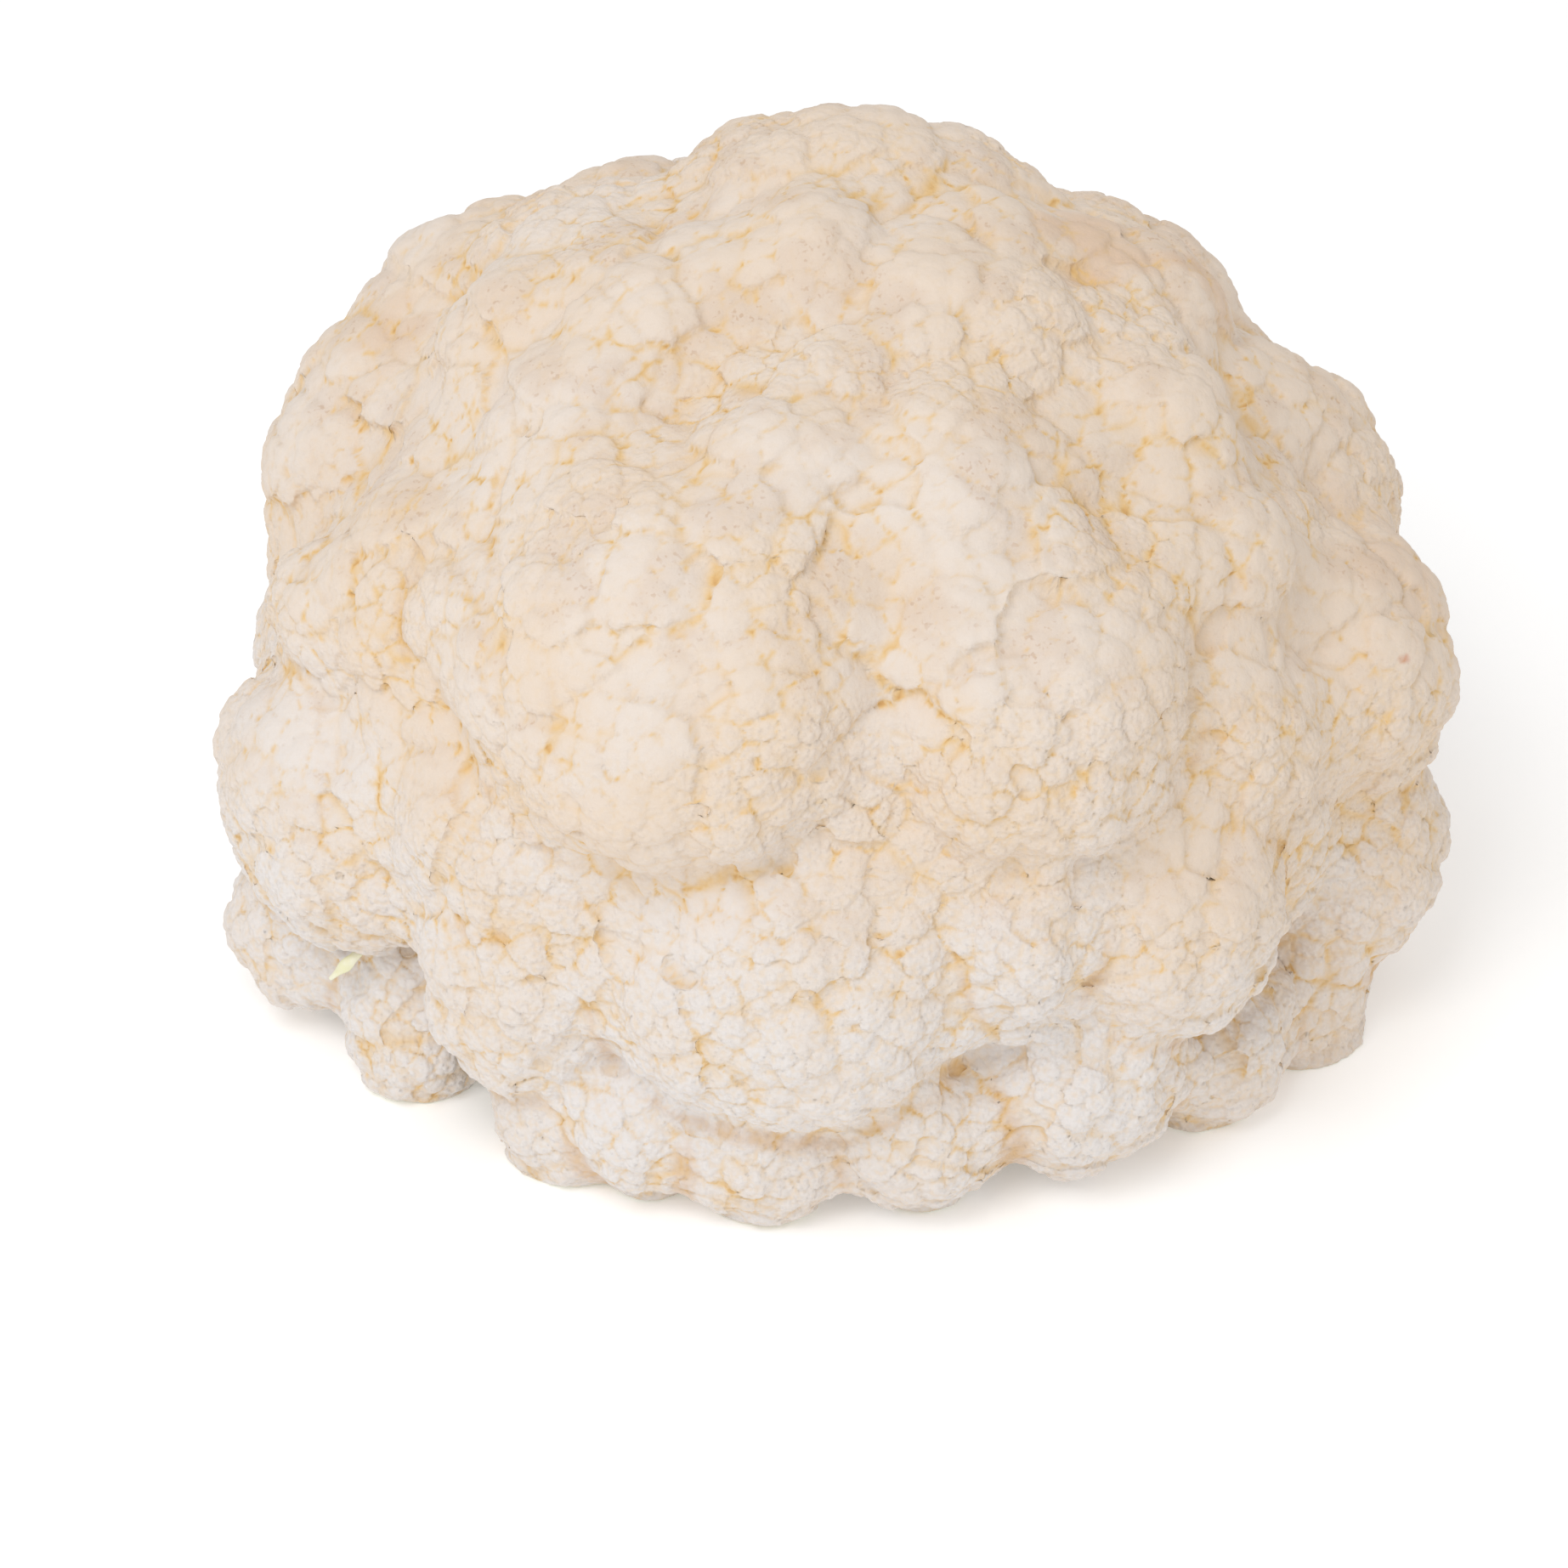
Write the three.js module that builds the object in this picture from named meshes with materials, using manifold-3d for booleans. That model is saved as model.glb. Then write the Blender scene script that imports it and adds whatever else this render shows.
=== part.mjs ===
// A whole cauliflower head: the curd of joined florets on its branched stalk,
// trimmed of its leaves and cut level underneath, with one small bract left in a crevice.
// Millimetres, +Z up, front towards -Y. The origin is the middle of the cut underside.
import * as THREE from 'three';
import { mergeVertices } from 'three/addons/utils/BufferGeometryUtils.js';
import Module from 'manifold-3d';

const wasm = await Module();
wasm.setup();

// ---- Driving dimensions -------------------------------------------------
const HEAD_WIDTH = 203; // of the envelope that the florets fill, along X
const HEAD_DEPTH = 190; // the same, along Y
const HEAD_HEIGHT = 137; // cut underside to the top of the envelope
const BELT_HEIGHT = 45; // height of the widest part of the curd
const STALK_DIAMETER = 46; // at the cut face
const STALK_STRAIGHT_SHARE = 0.3; // of the recess, before the stalk widens
const STALK_FLARE = 1.35; // how much wider the stalk is at the branches
const BRANCH_DIAMETER = 20; // where a branch leaves the stalk
const BRANCH_ROOT_HEIGHT = 13; // middle of the branches on the stalk
const BRANCH_TAPER = 1.4; // how much wider a branch is at its floret
const RECESS_HEIGHT = 15; // underside of the dense branching above the cut
const BRANCHING_SHARE = 0.83; // dense inner branching, as a share of the curd
const BRACT_LENGTH = 11;
const BRACT_WIDTH = 5;
const BRACT_THICKNESS = 1.1;
const BRACT_ROOT_WIDTH = 1.7;
const BRACT_BELLY = 1.6; // how far its edge's curve is pulled out, as a share of half its width
const BRACT_CLEARANCE = 0.7; // how far outwards the curd's shape is moved before it trims it
const TRIM = 1; // how far the stalk runs past the level cut before it is trimmed

// ---- Mesh fineness ------------------------------------------------------
const LARGE_FLORET = 22; // from this width a floret gets the finer ball
const FINE_DETAIL = 2;
const COARSE_DETAIL = 1;
const STALK_SIDES = 32;
const BRANCH_SIDES = 10;
const BRACT_CURVE_STEPS = 6;
const PROBE_RADIUS = 0.5; // of the thin rod that finds the curd's surface

// Florets as they grow out of the head. The crown of each one lies on the egg-shaped
// envelope of the head, at an azimuth from the front towards the right and an
// elevation from the belt, in degrees, and at a reach that is a share of the envelope.
// Across, tall and bulge are the half-sizes of the floret in millimetres.
// name, azimuth, elevation, reach, across, tall, bulge
const FLORETS = [
  ['crown_back', 170, 74, 1.04, 35, 31, 25],
  ['crown_middle', -15, 85, 1.02, 15, 15, 14],
  ['crown_dimple', -5, 68, 0.98, 15, 14, 12],
  ['crown_left', -68, 72, 1.0, 23, 22, 18],
  ['crown_right', 50, 73, 1.01, 23, 22, 18],
  ['crown_right_back', 102, 77, 1.0, 18, 17, 15],
  ['crown_left_back', -115, 61, 1.01, 22, 21, 17],
  ['shoulder_left_back', -120, 42, 1.04, 22, 21, 17],
  ['shoulder_left_knob', -85, 57, 1.01, 15, 14, 12],
  ['shoulder_left', -104, 30, 1.02, 25, 25, 20],
  ['shoulder_right_back', 102, 59, 1.0, 21, 20, 16],
  ['shoulder_right', 64, 54, 1.0, 19, 17, 15],
  ['shoulder_right_knob', 39, 54, 0.98, 15, 14, 12],
  ['shoulder_right_low', 52, 40, 1.0, 21, 20, 17],
  ['side_right_ridge', 100, 27, 0.99, 23, 25, 18],
  ['side_right', 73, 15, 1.03, 22, 23, 17],
  ['side_right_slope', 47, 20, 0.98, 17, 20, 14],
  ['side_left_knob', -71, 24, 1.0, 13, 12, 11],
  ['side_left', -62, 33, 1.0, 20, 19, 16],
  ['brow', -20, 37, 1.1, 35, 33, 26],
  ['brow_ridge', -47, 38, 1.0, 13, 18, 12],
  ['brow_top', -8, 56, 1.03, 20, 17, 15],
  ['brow_top_left', -50, 56, 1.0, 19, 17, 14],
  ['front_right', 23, 33, 1.07, 27, 27, 21],
  ['front_right_top', 19, 55, 1.03, 21, 19, 15],
  ['chin', -5, -3, 1.0, 32, 29, 24],
  ['chin_foot_left', -8, -25, 1.02, 15, 14, 13],
  ['chin_foot_right', 10, -23, 1.02, 16, 15, 14],
  ['jaw_left', -34, -9, 0.99, 18, 21, 16],
  ['jaw_left_hollow', -36, 11, 0.97, 19, 16, 14],
  ['jaw_left_foot', -20, -24, 1.02, 13, 13, 12],
  ['jaw_left_heel', -31, -27, 1.02, 14, 12, 12],
  ['jaw_right', 36, 1, 1.02, 20, 21, 17],
  ['jaw_right_knob', 19, 6, 0.98, 12, 15, 11],
  ['jaw_right_foot', 27, -20, 1.02, 18, 18, 15],
  ['cheek_left', -66, 0, 1.03, 28, 24, 21],
  ['cheek_left_foot', -72, -21, 1.07, 16, 15, 14],
  ['heel_left', -55, -27, 1.02, 14, 15, 13],
  ['cheek_right', 73, -14, 1.04, 22, 22, 17],
  ['cheek_right_foot', 65, -27, 1.06, 15, 13, 12],
  ['heel_right', 47, -25, 1.02, 16, 15, 13],
  ['back_left_high', -150, 40, 1.0, 28, 25, 20],
  ['back_high', 178, 38, 1.01, 27, 25, 20],
  ['back_right_high', 138, 38, 0.99, 29, 26, 20],
  ['back_left_side', -134, 13, 1.02, 26, 26, 20],
  ['back_left', -160, 9, 1.02, 26, 26, 20],
  ['back_right', 165, 9, 1.03, 27, 26, 20],
  ['back_right_side', 129, 11, 1.01, 28, 27, 20],
  ['flank_left', -103, -1, 0.96, 24, 26, 19],
  ['flank_right', 103, -1, 1.0, 23, 24, 18],
  ['flank_left_foot', -96, -22, 1.02, 20, 18, 16],
  ['back_left_foot', -121, -18, 1.02, 23, 21, 17],
  ['back_heel_left', -147, -19, 1.02, 22, 20, 16],
  ['back_heel', -171, -18, 1.03, 21, 20, 16],
  ['back_heel_right', 165, -20, 1.02, 20, 19, 16],
  ['back_right_foot', 142, -18, 1.03, 22, 20, 16],
  ['flank_right_foot', 117, -20, 1.02, 22, 19, 16],
  ['side_right_foot', 92, -24, 1.03, 18, 16, 14],
];

// The bract lies where two of the left-hand florets part.
const BRACT_AZIMUTH = -56;
const BRACT_ELEVATION = -13;
const BRACT_STANDOFF = 0.3; // of its middle, off the curd around it
const BRACT_LEAN = -35; // degrees about the outward direction
const BRACT_LIFT = 35; // degrees that its tip stands off the curd
const BRACT_ROOT_SHARE = 0.35; // of its length, sunk in the crevice

// Florets whose branch shows in the recess underneath.
const BRANCHED_FLORETS = [
  'chin', 'jaw_left', 'cheek_left', 'flank_left_foot', 'back_heel_left',
  'back_heel', 'back_right_foot', 'flank_right_foot', 'cheek_right', 'jaw_right_foot',
];

const CURD_COLOUR = 0xe7d9c6;
const CURD_ROUGHNESS = 0.75;
const BRACT_COLOUR = 0xccd08f;
const BRACT_ROUGHNESS = 0.6;

const UP = new THREE.Vector3(0, 0, 1);

// ---- Places on the head -------------------------------------------------
/** Half-sizes of the envelope: above the belt and below it are the same egg. */
function envelopeSize() {
  return new THREE.Vector3(HEAD_WIDTH / 2, HEAD_DEPTH / 2, HEAD_HEIGHT - BELT_HEIGHT);
}

/** Point of the envelope seen at an azimuth and an elevation, times a reach. */
function envelopePoint(azimuth, elevation, reach) {
  const turn = THREE.MathUtils.degToRad(azimuth);
  const rise = THREE.MathUtils.degToRad(elevation);
  const across = Math.cos(rise);
  const direction = new THREE.Vector3(
    across * Math.sin(turn),
    -across * Math.cos(turn),
    Math.sin(rise),
  );
  const point = direction.multiply(envelopeSize()).multiplyScalar(reach);
  point.z += BELT_HEIGHT;
  return point;
}

/** Outward normal of the envelope at a point. */
function envelopeNormal(point) {
  const size = envelopeSize();
  const normal = new THREE.Vector3(point.x, point.y, point.z - BELT_HEIGHT);
  return normal.divide(size).divide(size).normalize();
}

/** Frame of a floret: X across, Y up its face, Z out of the head. */
function floretFrame(outward) {
  const across = new THREE.Vector3().crossVectors(UP, outward).normalize();
  const upward = new THREE.Vector3().crossVectors(outward, across);
  return new THREE.Matrix4().makeBasis(across, upward, outward);
}

// ---- Solids -------------------------------------------------------------
/** A closed geometry as a solid that can be joined and cut. */
function toSolid(geometry) {
  const bare = geometry.clone();
  bare.deleteAttribute('normal');
  bare.deleteAttribute('uv');
  const merged = mergeVertices(bare);
  return new wasm.Manifold(new wasm.Mesh({
    numProp: 3,
    vertProperties: new Float32Array(merged.attributes.position.array),
    triVerts: new Uint32Array(merged.index.array),
  }));
}

/** Signed volume under one triangle, as seen from the origin. */
function wedgeVolume(positions, corners) {
  const [a, b, c] = corners.map((corner) => new THREE.Vector3().fromArray(positions, 3 * corner));
  return a.dot(b.cross(c)) / 6;
}

/** The triangles grouped into connected shells, each with its volume. */
function connectedShells(positions, triangles) {
  const parent = Array.from({ length: positions.length / 3 }, (_, corner) => corner);
  const find = (corner) => {
    let root = corner;
    while (parent[root] !== root) {
      parent[root] = parent[parent[root]];
      root = parent[root];
    }
    return root;
  };
  for (let i = 0; i < triangles.length; i += 3) {
    parent[find(triangles[i])] = find(triangles[i + 1]);
    parent[find(triangles[i + 1])] = find(triangles[i + 2]);
  }
  const shells = new Map();
  for (let i = 0; i < triangles.length; i += 3) {
    const corners = [triangles[i], triangles[i + 1], triangles[i + 2]];
    const root = find(corners[0]);
    const shell = shells.get(root) ?? { corners: [], volume: 0 };
    shell.corners.push(...corners);
    shell.volume += wedgeVolume(positions, corners);
    shells.set(root, shell);
  }
  return [...shells.values()];
}

/** A solid as a geometry. Pockets that florets close off between them are flesh, so only
 * the outer shell is kept. */
function toGeometry(solid) {
  const { vertProperties: positions, triVerts: triangles } = solid.getMesh();
  const shells = connectedShells(positions, triangles);
  const outer = shells.reduce((best, shell) => (shell.volume > best.volume ? shell : best));
  const geometry = new THREE.BufferGeometry();
  geometry.setAttribute('position', new THREE.BufferAttribute(positions, 3));
  geometry.setIndex(outer.corners);
  return geometry.toNonIndexed();
}

/** One floret: an egg whose crown lies on the envelope. */
function floretPlace([, azimuth, elevation, reach, across, tall, bulge]) {
  const crown = envelopePoint(azimuth, elevation, reach);
  const outward = envelopeNormal(crown);
  const centre = crown.clone().addScaledVector(outward, -bulge);
  return { centre, outward, across, tall, bulge };
}

function floretSolid(row) {
  const { centre, outward, across, tall, bulge } = floretPlace(row);
  const detail = across >= LARGE_FLORET ? FINE_DETAIL : COARSE_DETAIL;
  const geometry = new THREE.IcosahedronGeometry(1, detail);
  geometry.scale(across, tall, bulge);
  geometry.applyMatrix4(floretFrame(outward));
  geometry.translate(centre.x, centre.y, centre.z);
  return toSolid(geometry);
}

/** The dense branching that the florets grow out of, hollowed out underneath. */
function branchingSolid() {
  const geometry = new THREE.IcosahedronGeometry(1, FINE_DETAIL);
  const size = envelopeSize().multiplyScalar(BRANCHING_SHARE);
  geometry.scale(size.x, size.y, size.z);
  geometry.translate(0, 0, BELT_HEIGHT);
  return toSolid(geometry).subtract(blockBelow(RECESS_HEIGHT));
}

/** A block that takes away all that lies under a height. */
function blockBelow(height) {
  const span = 2 * Math.max(HEAD_WIDTH, HEAD_DEPTH);
  const geometry = new THREE.BoxGeometry(span, span, HEAD_HEIGHT);
  geometry.translate(0, 0, height - HEAD_HEIGHT / 2);
  return toSolid(geometry);
}

/** The cut stalk, widening into the branching above the recess. */
function stalkSolid() {
  const cut = STALK_DIAMETER / 2;
  const top = cut * STALK_FLARE;
  const profile = [
    new THREE.Vector2(0, -TRIM),
    new THREE.Vector2(cut, -TRIM),
    new THREE.Vector2(cut, RECESS_HEIGHT * STALK_STRAIGHT_SHARE),
    new THREE.Vector2(top, RECESS_HEIGHT + BRANCH_DIAMETER / 2),
    new THREE.Vector2(0, RECESS_HEIGHT + BRANCH_DIAMETER),
  ];
  const geometry = new THREE.LatheGeometry(profile, STALK_SIDES);
  geometry.rotateX(Math.PI / 2);
  return toSolid(geometry);
}

/** A tapered rod along a path from a start. */
function rodSolid(start, path, startRadius, endRadius, sides) {
  const length = path.length();
  const geometry = new THREE.CylinderGeometry(endRadius, startRadius, length, sides);
  geometry.translate(0, length / 2, 0);
  const turn = new THREE.Quaternion().setFromUnitVectors(
    new THREE.Vector3(0, 1, 0),
    path.clone().normalize(),
  );
  geometry.applyQuaternion(turn);
  geometry.translate(start.x, start.y, start.z);
  return toSolid(geometry);
}

/** A branch from the stalk to the middle of a low floret. */
function branchSolid(row) {
  const root = new THREE.Vector3(0, 0, BRANCH_ROOT_HEIGHT);
  const path = floretPlace(row).centre.sub(root);
  const radius = BRANCH_DIAMETER / 2;
  return rodSolid(root, path, radius, radius * BRANCH_TAPER, BRANCH_SIDES);
}

/** The whole grown head as one solid, trimmed level underneath. */
function headSolid() {
  let head = branchingSolid().add(stalkSolid());
  for (const row of FLORETS) {
    head = head.add(floretSolid(row));
    if (BRANCHED_FLORETS.includes(row[0])) {
      head = head.add(branchSolid(row));
    }
  }
  return head.subtract(blockBelow(0));
}

/** Outline of the flat bract, its root at the origin and its tip along Y. */
function bractOutline() {
  const root = BRACT_ROOT_WIDTH / 2;
  const belly = (BRACT_WIDTH / 2) * BRACT_BELLY;
  const middle = BRACT_LENGTH / 2;
  const outline = new THREE.Shape();
  outline.moveTo(-root, 0);
  outline.quadraticCurveTo(-belly, middle, 0, BRACT_LENGTH);
  outline.quadraticCurveTo(belly, middle, root, 0);
  outline.closePath();
  return outline;
}

/** How far the head reaches from a point inside it along a direction. */
function headReach(head, inside, direction) {
  const path = direction.clone().multiplyScalar(Math.max(HEAD_WIDTH, HEAD_DEPTH));
  const probe = rodSolid(inside, path, PROBE_RADIUS, PROBE_RADIUS, BRANCH_SIDES);
  const { vertProperties: positions } = head.intersect(probe).getMesh();
  let reach = 0;
  for (let i = 0; i < positions.length; i += 3) {
    const corner = new THREE.Vector3().fromArray(positions, i).sub(inside);
    reach = Math.max(reach, corner.dot(direction));
  }
  return reach;
}

/** Where the middle of the bract lies, just off the curd around it. */
function bractPlace(head) {
  const belt = new THREE.Vector3(0, 0, BELT_HEIGHT);
  const direction = envelopePoint(BRACT_AZIMUTH, BRACT_ELEVATION, 1).sub(belt).normalize();
  return belt.addScaledVector(direction, headReach(head, belt, direction) + BRACT_STANDOFF);
}

/** The bract, rooted in the crevice and trimmed clear of the curd. */
function bractSolid(head) {
  const geometry = new THREE.ExtrudeGeometry(bractOutline(), {
    depth: BRACT_THICKNESS,
    bevelEnabled: false,
    curveSegments: BRACT_CURVE_STEPS,
  });
  geometry.translate(0, -BRACT_LENGTH * BRACT_ROOT_SHARE, -BRACT_THICKNESS / 2);
  geometry.rotateZ(THREE.MathUtils.degToRad(BRACT_LEAN));
  geometry.rotateX(THREE.MathUtils.degToRad(BRACT_LIFT));
  const place = bractPlace(head);
  const outward = envelopeNormal(place);
  geometry.applyMatrix4(floretFrame(outward));
  geometry.translate(place.x, place.y, place.z);
  const shift = outward.clone().multiplyScalar(BRACT_CLEARANCE);
  const clearOf = head.translate([shift.x, shift.y, shift.z]);
  return toSolid(geometry).subtract(clearOf).subtract(head);
}

// ---- Model --------------------------------------------------------------
/** A named mesh of one solid in one plain colour. */
function makeMesh(name, solid, color, roughness) {
  const material = new THREE.MeshStandardMaterial({ color, roughness, metalness: 0 });
  const mesh = new THREE.Mesh(toGeometry(solid), material);
  mesh.name = name;
  return mesh;
}

/** The group, with its origin under the middle of the head's own box. */
function buildCauliflower() {
  const head = headSolid();
  const { min, max } = head.boundingBox();
  const group = new THREE.Group();
  group.position.set(-(min[0] + max[0]) / 2, -(min[1] + max[1]) / 2, 0);
  group.add(makeMesh('cauliflower_head', head, CURD_COLOUR, CURD_ROUGHNESS));
  group.add(makeMesh('bract_leaf', bractSolid(head), BRACT_COLOUR, BRACT_ROUGHNESS));
  return group;
}

export default buildCauliflower();
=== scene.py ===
"""A whole trimmed cauliflower head, with its granular curd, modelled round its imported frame.

The head grew as one piece. Its skin is shaped and grained as one, then parted along the
crevices into the branches that it grew from, because a single mesh couldn't hold it all.
"""

import logging
import math
from collections.abc import Iterator, Sequence
from dataclasses import dataclass, field
from enum import Enum

import bpy
import numpy as np
from mathutils import Euler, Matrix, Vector


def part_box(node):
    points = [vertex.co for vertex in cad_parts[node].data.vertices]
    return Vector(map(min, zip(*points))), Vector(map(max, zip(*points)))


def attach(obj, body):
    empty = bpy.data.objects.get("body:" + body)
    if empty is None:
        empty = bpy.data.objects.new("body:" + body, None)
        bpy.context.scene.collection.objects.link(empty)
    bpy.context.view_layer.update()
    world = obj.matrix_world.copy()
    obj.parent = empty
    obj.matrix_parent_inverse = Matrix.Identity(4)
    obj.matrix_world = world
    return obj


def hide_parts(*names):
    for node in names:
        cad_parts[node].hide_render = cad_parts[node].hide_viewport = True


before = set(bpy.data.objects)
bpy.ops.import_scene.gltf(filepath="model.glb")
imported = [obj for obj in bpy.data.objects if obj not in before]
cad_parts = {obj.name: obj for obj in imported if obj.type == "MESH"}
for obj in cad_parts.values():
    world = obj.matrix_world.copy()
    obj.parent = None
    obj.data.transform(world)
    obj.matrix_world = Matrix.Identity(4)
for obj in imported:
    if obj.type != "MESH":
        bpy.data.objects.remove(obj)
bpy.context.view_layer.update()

LOG = logging.getLogger("cauliflower")
HEAD_NODE = "cauliflower_head"
BRACT_NODE = "bract_leaf"
BODY = "root"

HEAD_LOW, HEAD_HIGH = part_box(HEAD_NODE)
DRAWN_WIDTH = 198.7  # of the head in the design, in millimetres
MM = (HEAD_HIGH.x - HEAD_LOW.x) / DRAWN_WIDTH  # one millimetre of the design, in metres

Array = np.ndarray
Place = tuple[float, float, float]
Range = tuple[float, float]  # what a share eases over, from where it is 0 to where it is 1
WAVES = 7  # crossing waves in a noise
WAVELENGTHS = (0.7, 1.5)  # their shortest and longest, as shares of the one asked for


# ---- Small helpers --------------------------------------------------------
def smooth_step(value: Array, start: float, end: float) -> Array:
    """Eases from 0 at start to 1 at end.

    Args:
        value: what is eased, of any shape.
        start: where the result is 0; it may lie above end.
        end: where the result is 1.

    Returns:
        The eased values, from 0 to 1.
    """
    share = np.clip((value - start) / (end - start), 0.0, 1.0)
    return share * share * (3.0 - 2.0 * share)


def wave_noise(points: Array, wavelength: float, seed: int) -> Array:
    """Soft noise from a few crossing waves.

    Args:
        points: places in metres, one row each.
        wavelength: rough size of the bumps in metres.
        seed: which pattern.

    Returns:
        One value for each point, from about -1 to 1.
    """
    draw = np.random.default_rng(seed)
    total = np.zeros(len(points))
    for _ in range(WAVES):
        direction = draw.normal(size=3)
        direction /= np.linalg.norm(direction)
        pitch = 2.0 * math.pi / (wavelength * draw.uniform(*WAVELENGTHS))
        total += np.sin(points @ direction * pitch + draw.uniform(0.0, 2.0 * math.pi))
    return total / math.sqrt(WAVES)


def read_vertices(mesh: bpy.types.Mesh, name: str = "co") -> Array:
    """Reads one vector for each vertex of a mesh.

    Args:
        mesh: the mesh.
        name: what is read, such as its place or its normal.

    Returns:
        The vectors, one row each.
    """
    values = np.empty(len(mesh.vertices) * 3, np.float32)
    mesh.vertices.foreach_get(name, values)
    return values.reshape(-1, 3).astype(float)


def write_vertices(mesh: bpy.types.Mesh, points: Array) -> None:
    """Moves the vertices of a mesh.

    Args:
        mesh: the mesh.
        points: their new places, one row each.
    """
    mesh.vertices.foreach_set("co", points.astype(np.float32).ravel())
    mesh.update()


def write_attribute(mesh: bpy.types.Mesh, name: str, values: Array) -> None:
    """Stores one number for each vertex of a mesh.

    Args:
        mesh: the mesh.
        name: the name to store it under.
        values: the numbers.
    """
    layer = mesh.attributes.new(name, "FLOAT", "POINT")
    layer.data.foreach_set("value", values.astype(np.float32))


def read_attribute(mesh: bpy.types.Mesh, name: str) -> Array:
    """Reads back one stored number for each vertex of a mesh.

    Args:
        mesh: the mesh.
        name: the name that it was stored under.

    Returns:
        The numbers.
    """
    values = np.empty(len(mesh.vertices), np.float32)
    mesh.attributes[name].data.foreach_get("value", values)
    return values.astype(float)


def deselect_all() -> None:
    """Leaves nothing selected."""
    for item in bpy.context.selected_objects:
        item.select_set(False)


def activate(piece: bpy.types.Object) -> None:
    """Selects one object alone and makes it the active one.

    Args:
        piece: the object.
    """
    deselect_all()
    piece.select_set(True)
    bpy.context.view_layer.objects.active = piece


def join(pieces: Sequence[bpy.types.Object], name: str) -> bpy.types.Object:
    """Joins pieces into one object.

    Args:
        pieces: the objects; the first one stays.
        name: the name of the result and of its mesh.

    Returns:
        The joined object.
    """
    activate(pieces[0])
    for piece in pieces:
        piece.select_set(True)
    if len(pieces) > 1:
        bpy.ops.object.join()
    whole = bpy.context.object
    whole.name = name
    whole.data.name = name
    return whole


def remesh(piece: bpy.types.Object, voxel: float) -> None:
    """Fuses all closed shells of a piece into one skin of even squares.

    Args:
        piece: the object.
        voxel: the width of the squares in metres.
    """
    activate(piece)
    modifier = piece.modifiers.new("fuse", "REMESH")
    modifier.mode = "VOXEL"
    modifier.voxel_size = voxel
    bpy.ops.object.modifier_apply(modifier=modifier.name)


def even_out(mesh: bpy.types.Mesh, share: Array, rounds: int) -> None:
    """Draws each vertex towards the middle of its neighbours.

    Args:
        mesh: the mesh.
        share: how far it goes in each round, from 0 to 1, for each vertex.
        rounds: how many times.
    """
    edges = np.empty(len(mesh.edges) * 2, np.int32)
    mesh.edges.foreach_get("vertices", edges)
    one, other = edges.reshape(-1, 2).T
    points = read_vertices(mesh)
    count = len(points)
    degree = np.bincount(edges, minlength=count)
    for _ in range(rounds):
        for axis in range(3):
            values = points[:, axis]
            total = np.bincount(one, values[other], count)
            total += np.bincount(other, values[one], count)
            points[:, axis] = values + share * (total / degree - values)
    write_vertices(mesh, points)


def subdivide_chosen(piece: bpy.types.Object, chosen: Array) -> None:
    """Halves the squares of a piece whose corners are all chosen.

    Args:
        piece: the object.
        chosen: one truth value for each vertex.
    """
    activate(piece)
    bpy.ops.object.mode_set(mode="EDIT")
    bpy.ops.mesh.select_mode(type="VERT")
    bpy.ops.mesh.select_all(action="DESELECT")
    bpy.ops.object.mode_set(mode="OBJECT")
    piece.data.vertices.foreach_set("select", chosen)
    bpy.ops.object.mode_set(mode="EDIT")
    bpy.ops.mesh.select_mode(type="FACE")
    bpy.ops.mesh.subdivide(number_cuts=1)
    bpy.ops.object.mode_set(mode="OBJECT")


# ---- The shape of the head ------------------------------------------------
@dataclass(frozen=True)
class Envelope:
    """The egg that the crowns of the florets lie on.

    Attributes:
        across: half its width as a share of the head's width.
        deep: half its depth as a share of the head's depth.
        rise: belt to top as a share of the head's height.
        belt: height of the belt as a share of the head's height.
        aside: how far its axis lies off the middle, as a share of the head's width.
    """

    across: float = 0.5108
    deep: float = 0.5033
    rise: float = 0.6643
    belt: float = 0.325
    aside: float = -0.004

    @property
    def half_size(self) -> Array:
        """Half-sizes in metres."""
        size = HEAD_HIGH - HEAD_LOW
        return np.array([size.x * self.across, size.y * self.deep, size.z * self.rise])

    @property
    def centre(self) -> Array:
        """Finds the middle of the belt.

        Returns:
            Its place in metres.
        """
        middle = (HEAD_LOW + HEAD_HIGH) / 2
        size = HEAD_HIGH - HEAD_LOW
        height = HEAD_LOW.z + size.z * self.belt
        return np.array([middle.x + size.x * self.aside, middle.y, height])

    def point(self, azimuth: float, elevation: float, reach: float) -> Array:
        """A place on the envelope.

        Args:
            azimuth: degrees from the front towards the right.
            elevation: degrees above the belt.
            reach: how far out, as a share of the envelope.

        Returns:
            The place in metres.
        """
        turn = math.radians(azimuth)
        rise = math.radians(elevation)
        direction = np.array(
            [
                math.cos(rise) * math.sin(turn),
                -math.cos(rise) * math.cos(turn),
                math.sin(rise),
            ]
        )
        return self.centre + direction * self.half_size * reach

    def normal(self, place: Array) -> Array:
        """Finds the outward direction of the envelope.

        Args:
            place: a place on it, in metres.

        Returns:
            The direction, of length 1.
        """
        slope = (place - self.centre) / self.half_size**2
        return slope / np.linalg.norm(slope)


ENVELOPE = Envelope()


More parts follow.
